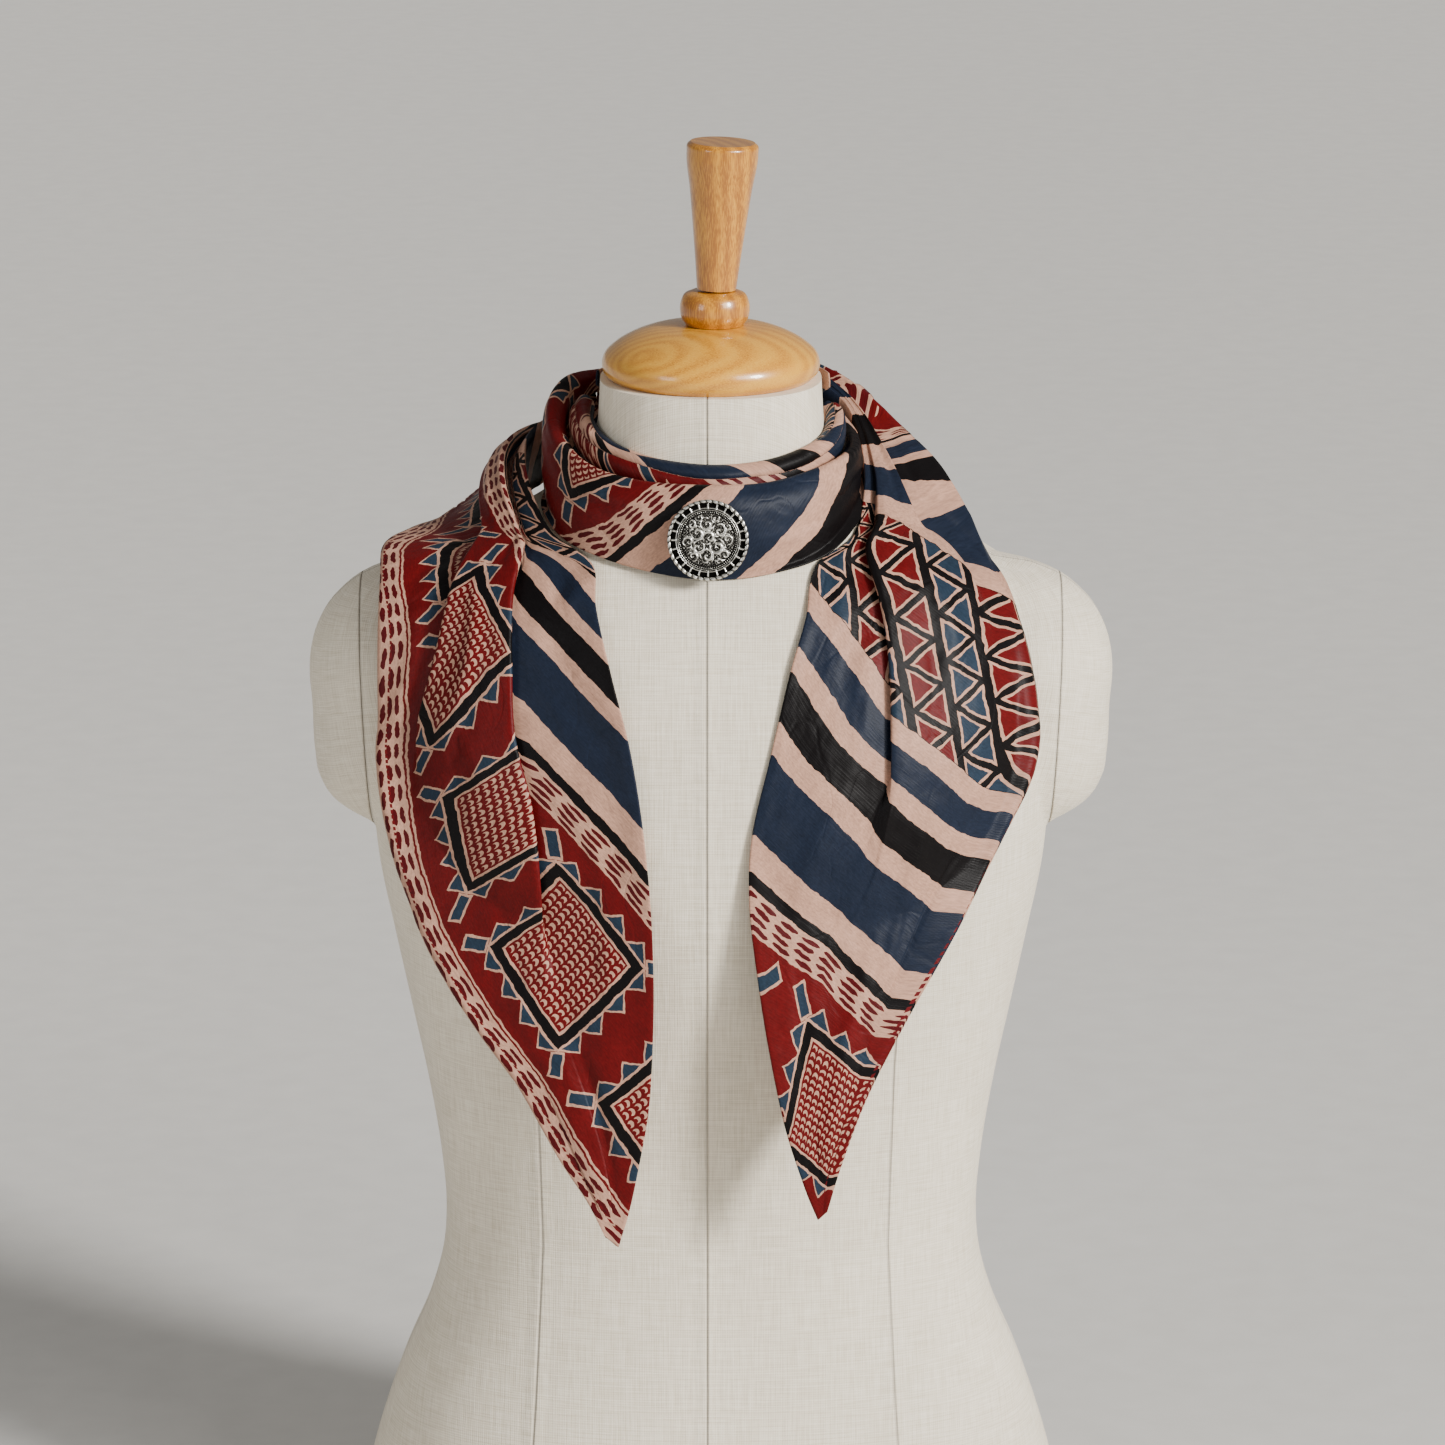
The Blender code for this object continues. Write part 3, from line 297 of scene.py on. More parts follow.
# The medallion's scrolls: middle, size, which way each curls and where it starts
SCROLLS = [
    (0.6, 1.2, 3.4, 1, 0.4), (-5.2, 3.4, 3.6, -1, 1.1), (5.6, 4.6, 3.5, 1, 2), (-0.6, 7.8, 3.3, -1, 0.2),
    (-4.8, -3.6, 3.4, 1, 2.9), (4.4, -3, 3.8, -1, 0.7), (-0.4, -7.6, 3.5, 1, 1.6), (-9.3, -0.8, 2.9, 1, 0),
    (9.4, 0.4, 2.8, -1, 2.4), (-8, 7.4, 2.6, 1, 1.3), (8.2, -7.2, 2.7, 1, 0.5), (-7.2, -7.8, 2.6, -1, 2.2),
    (3.6, 10.6, 2.3, 1, 1.9), (-4.2, 11, 2, -1, 0.9), (5.4, -10.6, 2, -1, 2.7), (9.6, 6.8, 2.2, -1, 0.1),
]

# The camera: what it looks at, how far above level and how far off it stands, and its lens
VIEW_TARGET = Vector((0.00575, 0, 0.45))
VIEW_ELEVATION = math.radians(15)
VIEW_DISTANCE = 3.0
LENS = 149.5
SENSOR = 36.0

# The form's seams, in millimetres: the middle one, the panels' by height and distance from their
# middle, where those end, how far out and how far up the side and armhole seams begin, and a
# distance that stands for no seam
CENTRE_SEAM = -2.0
PANEL_SEAM = np.array([(0, 98), (60, 94), (120, 90), (200, 86), (300, 88), (420, 94)])
PANEL_MIDDLE = 2.0
PANEL_TOP = 430.0
SIDE_SEAM_FROM = 100.0
ARMHOLE_FROM = 388.0
NO_SEAM = 99.0

# The lights: name, kind, place, size (the sun's in radians), power and colour
LIGHTS = [
    ("key", "SUN", (2.3, -1.8, 1.7), math.radians(12.0), 5.2, (1.0, 0.975, 0.94)),
    ("window", "AREA", (1.5, -2.0, 1.8), 0.8, 22.0, (1.0, 0.98, 0.95)),
    ("fill", "AREA", (-2.0, -1.9, 1.3), 0.9, 13.0, (0.97, 0.98, 1.0)),
]
FLOOR_REACH = 40.0

# How finely the pieces are made; a collar's sizes are columns, then rows
TORSO_SIDES = 256
TORSO_RINGS = 230
SIDE_CROWDING = 0.3
TAIL_ROW_COUNT = 210
TAIL_COLUMN_SPLIT = 4
FRONT_SIZE = (60, 260)
INNER_SIZE = (72, 260)
BACK_SIZE = (30, 140)
CREASE_STEPS = 60
TURNED_SIDES = 128
TURNED_RINGS = 90
BROOCH_SIDES = 480
GALLERY_RINGS = 24
MEDALLION_RINGS = 110
ROPE_SIDES = 20

# The cloth's thickness and its hem's extra thickness, in metres; the hem's width, in millimetres,
# and a distance from it that stands for no hem
CLOTH_THICKNESS = 0.0007
HEM_RISE = 0.0005
HEM_WIDTH = 2.6
NO_HEM = 99.0

# The printed cloth, in millimetres: the repeat of its stripes across them, turned back at half way
STRIPE_TURN = 284.0
STRIPES = [
    # where a stripe starts, its colour
    (0, "cream"), (11.6, "red"), (12.6, "cream"), (14.2, "red"), (117, "cream"), (133, "black"),
    (138, "cream"), (152, "navy"), (184, "cream"), (195, "black"), (211, "cream"), (221, "navy"),
    (236, "cream"), (246, "black"),
]
# Squares stand in a row beside the hem, with teeth on their sides and a bar on each corner
SQUARE_REPEAT = 105.0
SQUARE_MIDDLE = 66.0
SQUARE_HALF = 35.0
SQUARE_LAYERS = [(35.6, "cream"), (34.2, "black"), (29.0, "cream"), (27.6, "red")]
TOOTH_HALF = 8.75
TOOTH_LAYERS = [(43.75, "cream"), (42.3, "blue")]
BAR_MIDDLE = 57.5
BAR_STRETCH = 3.5
BAR_LAYERS = [(4.2, "cream"), (2.9, "blue")]
DIAGONAL = 0.7071
# Rows of crescents inside a square: a disc with a bite out of it, their radii squared
CRESCENT_GAP = 4.2
CRESCENT_ROW_GAP = 5.0
CRESCENT_DISC = 3.6
CRESCENT_BITE = 2.0
CRESCENT_SHIFT = 1.25
CRESCENTS_WITHIN = 26.4
# Dashes lie in lanes along two cream bands, in bowed groups: from, to, the lanes' shift
DASH_BANDS = [(0.8, 10.9, 0.0), (118.2, 132.0, 1.75)]
DASH_GROUP = 16.5
DASH_BOW = 0.11
DASH_LANE = 3.5
DASH_HALF = 1.1
DASH_TAPER = 0.0006
# Strips of triangles: turns per millimetre down a strip and from strip to strip, by along and across
TRIANGLES_DOWN = (-0.0250, -0.0375)
TRIANGLES_ASIDE = (-0.0269, 0.0343)
TRIANGLE_SHIFT = 1.0
TRIANGLE_GAP = 0.075
TRIANGLE_LINE = 1.35
TRIANGLES_FROM = 246.6
# The hem's running stitches: their line's distance from the edge, half thickness, length and repeat
STITCH_LINE = 5.0
STITCH_HALF = 0.5
STITCH_LENGTH = 2.6
STITCH_REPEAT = 4.2
DYES = {"cream": "#b98f7a", "red": "#5c0c0e", "navy": "#1a2130", "black": "#0c090a", "blue": "#22303f",
        "dash": "#4c0c10", "thread": "#5e1014"}

# How much of each end's width is folded away inside its pleats, in millimetres of cloth
FOLDED_LEFT = np.array([
    # row, inward pleat, outward pleat
    (0, 0, 0), (5, 0, 0), (5.5, 3, 0), (6, 20, 0), (7, 64, 0), (8, 100, 6), (9, 104, 42), (10, 115, 55),
    (11, 137, 60), (12, 190, 95), (13, 235, 100), (14, 280, 125), (15, 310, 145), (16, 320, 180),
    (17, 330, 205), (18, 340, 225),
])
# The same end's place along its fold: length of the made edge, height on the flat cloth
HEIGHT_LEFT = np.array([
    (0, 0), (144, 146), (219, 221), (292, 295), (361, 369), (610, 632),
])

# The right end's print, as it shows on the worn cloth: millimetres across the stripes, then along
# them, at the inner edge, beside and on the inward crease, on and beside the outward one, at the edge
PRINT_RIGHT = np.array([
    (0, 14, 14, 15, 16, 16, 17, -12, -14, -15, -18, -19, -20),
    (1, 22, 29, 32, 38, 39, 40, 0, -8, -11, -17, -18, -20),
    (2, 42, 58, 63, 75, 79, 87, 34, 14, 7, -6, -11, -20),
    (3, 82, 95, 102, 117, 123, 131, 53, 27, 17, -5, -11, -20),
    (4, 108, 129, 142, 164, 173, 181, 72, 34, 22, 0, -8, -20),
    (5, 127, 166, 180, 206, 214, 232, 92, 46, 34, 7, -6, -20),
    (6, 152, 200, 209, 244, 252, 268, 112, 52, 40, 2, -8, -20),
    (7, 183, 232, 237, 268, 275, 292, 129, 70, 62, 19, 8, -8),
    (8, 211, 253, 267, 297, 301, 308, 148, 105, 88, 41, 33, 20),
    (9, 236, 264, 286, 318, 319, 326, 160, 130, 110, 63, 60, 45),
    (10, 252, 275, 305, 330, 338, 341, 174, 150, 128, 95, 88, 66),
    (11, 285, 295, 314, 327, 347, 342, 185, 165, 145, 125, 112, 95),
    (12, 336, 338, 340, 345, 352, 366, 200, 185, 170, 155, 140, 120),
    (12.7, 350, 351, 353, 355, 372, 384, 210, 198, 187, 175, 152, 137),
    (12.8, 352, 353, 355, 356, 452, 462, 214, 202, 191, 178, 155, 140),
    (13, 357, 358, 359, 360, 454, 470, 218, 206, 195, 185, 160, 145),
    (14, 378, 378, 379, 380, 447, 452, 236, 225, 215, 200, 180, 165),
    (15, 392, 393, 394, 395, 440, 444, 250, 240, 230, 215, 195, 180),
    (16, 402, 404, 406, 410, 470, 480, 265, 255, 245, 230, 215, 200),
    (18, 430, 435, 440, 450, 490, 520, 305, 295, 285, 270, 255, 240),
    (21, 460, 465, 470, 480, 510, 550, 350, 340, 330, 315, 300, 285),
])
# The pleats hide cloth at least between these samples, and all of it from so much folded away
HIDDEN_FROM = 0.41
HIDDEN_TO = 0.78
FOLDED_FULL = 20.0
# The made width is this share of the cloth's, and the print is evened over this many rows
WIDTH_SHRINK = 0.84
EVEN_SPREAD = 3.0
# Where the rows of squares stand along each end, and the row where the right end's hem stops
LEFT_SQUARES = 36.0
RIGHT_SQUARES = 20.0
HEM_END_RIGHT = 6.2
# The inner edge is folded under: a small roll, and by rows how far it drops beside the collar
EDGE_ROLL = 0.8
EDGE_ROLL_BACK = 0.9
EDGE_COLUMNS = 5
EDGE_SAMPLES = 0.03
DEEP_EDGE_LEFT = np.array([
    (0, 0), (11, 0), (12.4, 10), (13.5, 26), (14.5, 32), (15.5, 30), (16.8, 8), (17.5, 0), (18, 0),
])
DEEP_EDGE_RIGHT = np.array([
    (0, 0), (10.2, 0), (11.2, 14), (12.5, 18), (14, 24), (15.5, 22), (17, 8), (18.5, 0), (21, 0),
])

# Creases of an end: from a row and a share of its samples to another, half width, rise (troughs fall)
CREASES_LEFT = [
    (0.8, 0.57, 5, 0.60, 6, 2.2), (2.2, 0.22, 7.2, 0.14, 7, 2), (5.6, 0.91, 9.6, 0.90, 4.5, 1.8),
    (3, 0.92, 5.4, 0.90, 4, 1.4), (7.4, 0.62, 9.6, 0.58, 5, 1.6), (1, 0.30, 4, 0.36, 3, -1),
    (2, 0.55, 6, 0.60, 3.5, -1.2), (3.5, 0.20, 7, 0.16, 4, -1.2), (6, 0.62, 10, 0.56, 3, -1.2),
    (7, 0.54, 11, 0.66, 2.5, 1.2), (8, 0.08, 11.5, 0.16, 3, -1.2), (9, 0.90, 12, 0.88, 3, -1.2),
    (11.5, 0.60, 15, 0.60, 2.5, 1.5), (12, 0.93, 15.5, 0.90, 2.5, 1.5), (13, 0.18, 17, 0.20, 2.5, -1.2),
    (14.5, 0.95, 18, 0.70, 3, -1.2), (5, 0.85, 8, 0.93, 3, 0.8), (9.5, 0.12, 10.8, 0.02, 4, 1.5),
    (10.3, 0.52, 12.5, 0.50, 2, -1),
]
CREASES_RIGHT = [
    (1, 0.58, 4.6, 0.60, 6, 2.2), (3, 0.18, 8.4, 0.22, 7, 2), (4.6, 0.92, 8.6, 0.91, 4.5, 1.8),
    (3.2, 0.68, 6, 0.60, 4, 1.6), (7.6, 0.62, 10.2, 0.60, 5, 1.8), (4.2, 0.42, 6.6, 0.50, 1.2, 0.8),
    (5.2, 0.80, 7, 0.62, 1.2, 0.8), (2, 0.25, 5, 0.20, 4, -1.2), (5.5, 0.15, 9, 0.20, 3.5, -1.2),
    (6.5, 0.55, 9.5, 0.60, 3, -1), (8, 0.55, 12, 0.52, 2.5, 1.4), (9, 0.92, 13, 0.90, 3, -1.2),
    (8.5, 0.08, 11, 0.16, 2.5, 1.5), (11, 0.62, 15, 0.60, 2.5, -1.2), (12.5, 0.92, 18, 0.94, 3.5, 1.7),
    (14, 0.20, 20, 0.30, 2, -0.8), (3, 0.70, 5.5, 0.85, 4, -0.9), (16, 0.88, 20.5, 0.93, 3, -1.2),
    (7.5, 0.30, 10, 0.29, 2, 1),
]

# The collar's print: across the stripes at the outer band's low edge and crest, then along them
FRONT_PRINT = np.array([
    (-128, 45, 10, -134, -100), (-80, 95, 55, -84, -42), (-55, 117, 75, -58, -14), (-35, 133, 95, -37, 9),
    (-28, 143, 103, -29, 17), (-20, 153.5, 115, -21, 26), (-5, 170, 133, -5, 43), (0, 175, 138, 0, 49),
    (12, 187.5, 152, 13, 61), (28, 200, 168, 29, 76), (45, 207, 184, 47, 92), (70, 215, 195, 73, 110),
    (90, 223, 203, 94, 128), (120, 236, 222, 126, 155),
])
# The crest lies at this share of the band's width
FRONT_CREST = 0.79
# The inner roll is three folds deep, each with its own stretch of the print; their swell, how far
# the print slants over a fold, and how far it moves from fold to fold
INNER_SWELL = 1.5
INNER_SLANT = 9.0
INNER_STEP = 30.0
# Where one fold meets the next, as a share of the width, and a slow and a quick wave along it
INNER_FOLDS = [
    # share, slow wave, its start, quick wave
    (0.40, 7, 0, 23), (0.66, 9, 2, 19),
]
INNER_WAVES = (0.05, 0.02)
INNER_PRINT = np.array([
    # angle, across the stripes on the outer, the middle and the neck's fold, along them
    (-103, 60, 96, 150, -150), (-72, 76, 118, 168, -110), (-50, 88, 134, 178, -80),
    (-25, 100, 154, 190, -45), (0, 110, 172, 208, -5), (25, 122, 190, 226, 35), (50, 138, 210, 250, 75),
    (72, 156, 228, 268, 110), (95, 176, 246, 288, 145),
])
CREASES_FRONT = [
    # degrees and share of the band's width from, to, half width, rise
    (-116, 0.62, -62, 0.70, 2.2, 1.3), (-120, 0.42, -72, 0.34, 2.5, 1), (-74, 0.30, -30, 0.52, 3, -0.7),
    (24, 0.28, 84, 0.55, 3, -0.8), (34, 0.72, 104, 0.60, 1.8, 1.1), (52, 0.45, 112, 0.40, 1.8, 0.9),
    (-100, 0.20, -60, 0.12, 2.5, -0.7), (60, 0.16, 116, 0.24, 2.5, -0.7),
]


def linear(hex_colour):
    """Turn an sRGB hex colour into linear values with full alpha."""
    parts = [int(hex_colour[place:place + 2], 16) / 255.0 for place in (1, 3, 5)]
    return tuple(part / 12.92 if part <= 0.04045 else ((part + 0.055) / 1.055) ** 2.4
                 for part in parts) + (1.0,)


def smooth_between(knots, values, places):
    """Read a smooth curve through a table's values (cubic, with slopes from the neighbours)."""
    knots = np.asarray(knots, float)
    values = np.asarray(values, float)
    places = np.clip(places, knots[0], knots[-1])
    if values.ndim > 1:
        columns = [smooth_between(knots, column, places) for column in values.T]
        return np.stack(columns, axis=-1)
    slopes = np.gradient(values, knots)
    left = np.clip(np.searchsorted(knots, places, side="right") - 1, 0, len(knots) - 2)
    width = knots[left + 1] - knots[left]
    share = (places - knots[left]) / width
    rise = values[left + 1] - values[left]
    start = slopes[left] * width
    end = slopes[left + 1] * width
    return (values[left] + share * start + share ** 2 * (3.0 * rise - 2.0 * start - end)
            + share ** 3 * (start + end - 2.0 * rise))


def form_radius(angle, height):
    """Give the form's radius from its axis, at an angle from +X and a height."""
    half, front, back = smooth_between(FORM_SECTIONS[:, 0], FORM_SECTIONS[:, 1:], height).T
    across = np.abs(np.cos(angle))
    along = np.abs(np.sin(angle))
    depth = np.where(np.sin(angle) < 0.0, front, back)
    torso = ((across / half) ** FORM_POWER + (along / depth) ** FORM_POWER) ** (-1.0 / FORM_POWER)
    reach, half_depth = smooth_between(ARM_CAP_SECTIONS[:, 0], ARM_CAP_SECTIONS[:, 1:], height).T
    half_reach = np.maximum(reach - ARM_CAP_CENTRE, MM)
    square = (across / half_reach) ** 2 + (along / half_depth) ** 2
    middle = across * ARM_CAP_CENTRE / half_reach ** 2
    rest = (ARM_CAP_CENTRE / half_reach) ** 2 - 1.0
    root = middle ** 2 - square * rest
    cap = np.where(root > 0.0, (middle + np.sqrt(np.maximum(root, 0.0))) / square, 0.0)
    inside = (height > ARM_CAP_SECTIONS[0, 0]) & (height < ARM_CAP_SECTIONS[-1, 0])
    return np.maximum(torso, np.where(inside, cap, 0.0))


def round_points(radius, angle, height):
    """Place points by their radius from the upright axis, their angle from +X and their height."""
    return np.stack([radius * np.cos(angle), radius * np.sin(angle), height], axis=-1)


def form_excess(points):
    """Tell how far points lie outside the form, measured level from its axis."""
    angle = np.arctan2(points[:, 1], points[:, 0])
    return np.hypot(points[:, 0], points[:, 1]) - form_radius(angle, points[:, 2])


def keep_clear(points, clearance):
    """Move the points that lie closer to the form than the clearance straight out of it."""
    flat = points.reshape(-1, 3).copy()
    steps = SLOPE_STEP * np.eye(3)
    for _ in range(CLEAR_PASSES):
        excess = form_excess(flat)
        slope = np.stack([form_excess(flat + step) - form_excess(flat - step) for step in steps],
                         axis=-1) / (2.0 * SLOPE_STEP)
        length = np.maximum(np.linalg.norm(slope, axis=1), LEAST_SLOPE)
        short = np.maximum(clearance - excess / length, 0.0)
        flat += slope / length[:, None] * short[:, None]
    return flat.reshape(points.shape)


def unit(vectors):
    """Scale vectors to length one."""
    return vectors / np.maximum(np.linalg.norm(vectors, axis=-1, keepdims=True), 1e-12)


def mean_directions(grid, axis):
    """Give the mean of the directions to each point from its neighbours along an axis."""
    steps = unit(np.diff(grid, axis=axis))
    first = np.take(steps, [0], axis=axis)
    last = np.take(steps, [-1], axis=axis)
    return np.concatenate([first, steps], axis=axis) + np.concatenate([steps, last], axis=axis)


def grid_normals(grid, outward):
    """Give a grid's normals, on the side that the outward sign picks."""
    return unit(np.cross(mean_directions(grid, 0), mean_directions(grid, 1))) * outward


def soft_ramp(places, start, width):
    """Rise from nought at a start with slope one, rounded over a width."""
    past = (places - start) / width
    rounded = np.clip(past + 0.5, 0.0, 1.0) ** 2 / 2.0
    return width * np.where(past > 0.5, past, rounded)


def soft_step(places, start, width):
    """Rise from nought to one over a width about a start."""
    share = np.clip((places - start) / width + 0.5, 0.0, 1.0)
    return share * share * (3.0 - 2.0 * share)


def pleat_rise(samples, knots, depth):
    """Rise by two layers: in two turns where a pleat is deep, in one slope where it opens."""
    start, end = knots
    turn = TURN_SPREAD * TURN_WIDTH
    turns = soft_step(samples, start, turn) + soft_step(samples, end, turn)
    slope = 2.0 * soft_step(samples, (start + end) / 2.0, SLOPE_SPREAD * (end - start))
    folded = min(max(depth / DEEP_PLEAT, 0.0), 1.0)
    return folded * turns + (1.0 - folded) * slope


def pleated_row(samples, pleats):
    """Give each sample's share of the row's width and its lift off the lowest layer."""
    place_in, depth_in, lift_in, place_out, depth_out, lift_out = pleats
    knots = (0.0,) + PLEAT_KNOTS + (1.0,)
    shares = (0.0, place_in + depth_in, place_in, place_out, place_out - depth_out, UNDER_END)
    slopes = [(after - before) / (end - start)
              for before, after, start, end in zip(shares, shares[1:], knots, knots[1:])]
    share = slopes[0] * samples
    for knot, before, after in zip(PLEAT_KNOTS, slopes, slopes[1:]):
        share = share + (after - before) * soft_ramp(samples, knot, TURN_WIDTH)
    rise = lift_in * MM * pleat_rise(samples, PLEAT_KNOTS[:2], depth_in)
    fall = lift_out * MM * pleat_rise(samples, PLEAT_KNOTS[2:], depth_out)
    return share, rise - fall


def row_curve(guides, shares):
    """Place shares of a row on the line from its inner edge over its ridge to its under edge."""
    inner, ridge, under = guides
    across = np.clip(shares, 0.0, 1.0)[:, None]
    behind = np.clip((shares - 1.0) / (UNDER_END - 1.0), 0.0, 1.0)[:, None]
    return inner + (ridge - inner) * across + (under - ridge) * behind


def tail_grid(guides, pleat_table, outward, row_count, samples):
    """Work out an end's mid-surface: rows from the tip up, columns from the inner edge out."""
    stations = np.arange(len(guides), dtype=float)
    rows = np.linspace(0.0, stations[-1], row_count)
    guide_rows = smooth_between(stations, guides * MM, rows).reshape(row_count, 3, 3)
    pleat_rows = smooth_between(pleat_table[:, 0], pleat_table[:, 1:], rows)
    even = np.linspace(0.0, UNDER_END, BASE_COLUMNS)
    base = np.stack([row_curve(guide, even) for guide in guide_rows])
    base = keep_clear(base, CLOTH_CLEARANCE)
    normals = grid_normals(base, outward)
    grid = []
    for row, pleats in enumerate(pleat_rows):
        shares, lifts = pleated_row(samples, pleats)
        place = np.stack([np.interp(shares, even, base[row, :, axis]) for axis in range(3)], axis=-1)
        facing = np.stack([np.interp(shares, even, normals[row, :, axis]) for axis in range(3)], axis=-1)
        grid.append(place + unit(facing) * lifts[:, None])
    return np.array(grid)


def chord_curve(points, count):
    """Sample a smooth curve through points evenly along its length."""
    steps = np.linalg.norm(np.diff(points, axis=0), axis=1)
    knots = np.concatenate([[0.0], np.cumsum(steps)])
    return smooth_between(knots, points, np.linspace(0.0, knots[-1], count))


def band_section(row):
    """Give the points of the outer band's section from its low edge over the crest."""
    low_r, low_z, middle_r, middle_z, crest_r, crest_z, width, tuck = row
    side_z = crest_z - CREST_ROUND * width
    return np.array([(low_r, low_z), (middle_r, middle_z), (crest_r + width / 2.0, side_z),
                     (crest_r, crest_z), (crest_r - width / 2.0, side_z),
                     (crest_r - CREST_TUCK * width, crest_z - tuck)])


def arch_section(row):
    """Give the points of the inner roll's section from its outer foot to its inner foot."""
    outer_r, outer_z, crown_r, crown_z, inner_r, inner_z = row
    shoulder = crown_z - (outer_r - inner_r) * ARCH_ROUND
    return np.array([(outer_r, outer_z), (outer_r - ARCH_LEAN, shoulder), (crown_r, crown_z),
                     (inner_r + ARCH_LEAN, shoulder), (inner_r, inner_z)])


def wrap_section(row):
    """Give the points of a plain band's section from its low edge to its top."""
    return row.reshape(-1, 2)


def band_angles(table, count):
    """Spread angles evenly over the reach of a collar's table."""
    return np.linspace(table[0, 0], table[-1, 0], count)


def collar_grid(table, section, column_count, row_count):
    """Work out a band round the neck: rows by angle, columns along the band's section."""
    angles = band_angles(table, row_count)
    points = []
    for angle, row in zip(np.radians(angles), smooth_between(table[:, 0], table[:, 1:], angles)):
        profile = chord_curve(section(row) * MM, column_count)
        points.append(np.stack([profile[:, 0] * math.sin(angle), -profile[:, 0] * math.cos(angle),
                                profile[:, 1]], axis=-1))
    return keep_clear(np.array(points), CLOTH_CLEARANCE)


def place_on_collar(points):
    """Move the brooch's points to the collar: its own +Z points away from the cloth."""
    turn = Matrix.Rotation(math.pi / 2.0 - BROOCH_TILT, 3, "X")
    return points.reshape(-1, 3) @ np.array(turn).T + np.array(BROOCH_CENTRE)


def set_camera():
    """Stand the camera where the photograph was taken from."""
    toward = Vector((0.0, -math.cos(VIEW_ELEVATION), math.sin(VIEW_ELEVATION)))
    data = bpy.data.cameras.new("camera")
    data.lens = LENS
    data.sensor_width = SENSOR
    data.sensor_fit = "HORIZONTAL"
    camera = bpy.data.objects.new("camera", data)
    camera.location = VIEW_TARGET + toward * VIEW_DISTANCE
    camera.rotation_euler = toward.to_track_quat("Z", "Y").to_euler()
    bpy.context.scene.collection.objects.link(camera)
    bpy.context.scene.camera = camera


def set_inputs(tree, node, inputs):
    """Give a node's inputs, by name or in order, values or other nodes' outputs."""
    pairs = inputs.items() if isinstance(inputs, dict) else enumerate(inputs)
    for name, value in pairs:
        if isinstance(value, bpy.types.Node):
            value = value.outputs[0]
        if isinstance(value, bpy.types.NodeSocket):
            tree.links.new(value, node.inputs[name])
        else:
            node.inputs[name].default_value = value


def add_node(tree, kind, inputs=(), **settings):
    """Add a node with its settings, and give each input a value or another node's output."""
    kind, *operation = kind.split()
    made = tree.nodes.new("ShaderNode" + kind)
    if operation:
        made.operation = operation[0]
    for name, value in settings.items():
        setattr(made, name, value)
    set_inputs(tree, made, inputs)
    return made


def start_finish(name):
    """Start a material, and give its node tree and its surface shader."""
    made = bpy.data.materials.new(name)
    made.use_nodes = True
    return made, made.node_tree, made.node_tree.nodes["Principled BSDF"]


def set_ramp(ramp, stops, interpolation="LINEAR"):
    """Set a colour ramp's stops."""
    ramp.color_ramp.interpolation = interpolation
    elements = ramp.color_ramp.elements
    while len(elements) > 1:
        elements.remove(elements[-1])
    elements[0].position = stops[0][0]
    elements[0].color = linear(stops[0][1])
    for place, colour in stops[1:]:
        elements.new(place).color = linear(colour)


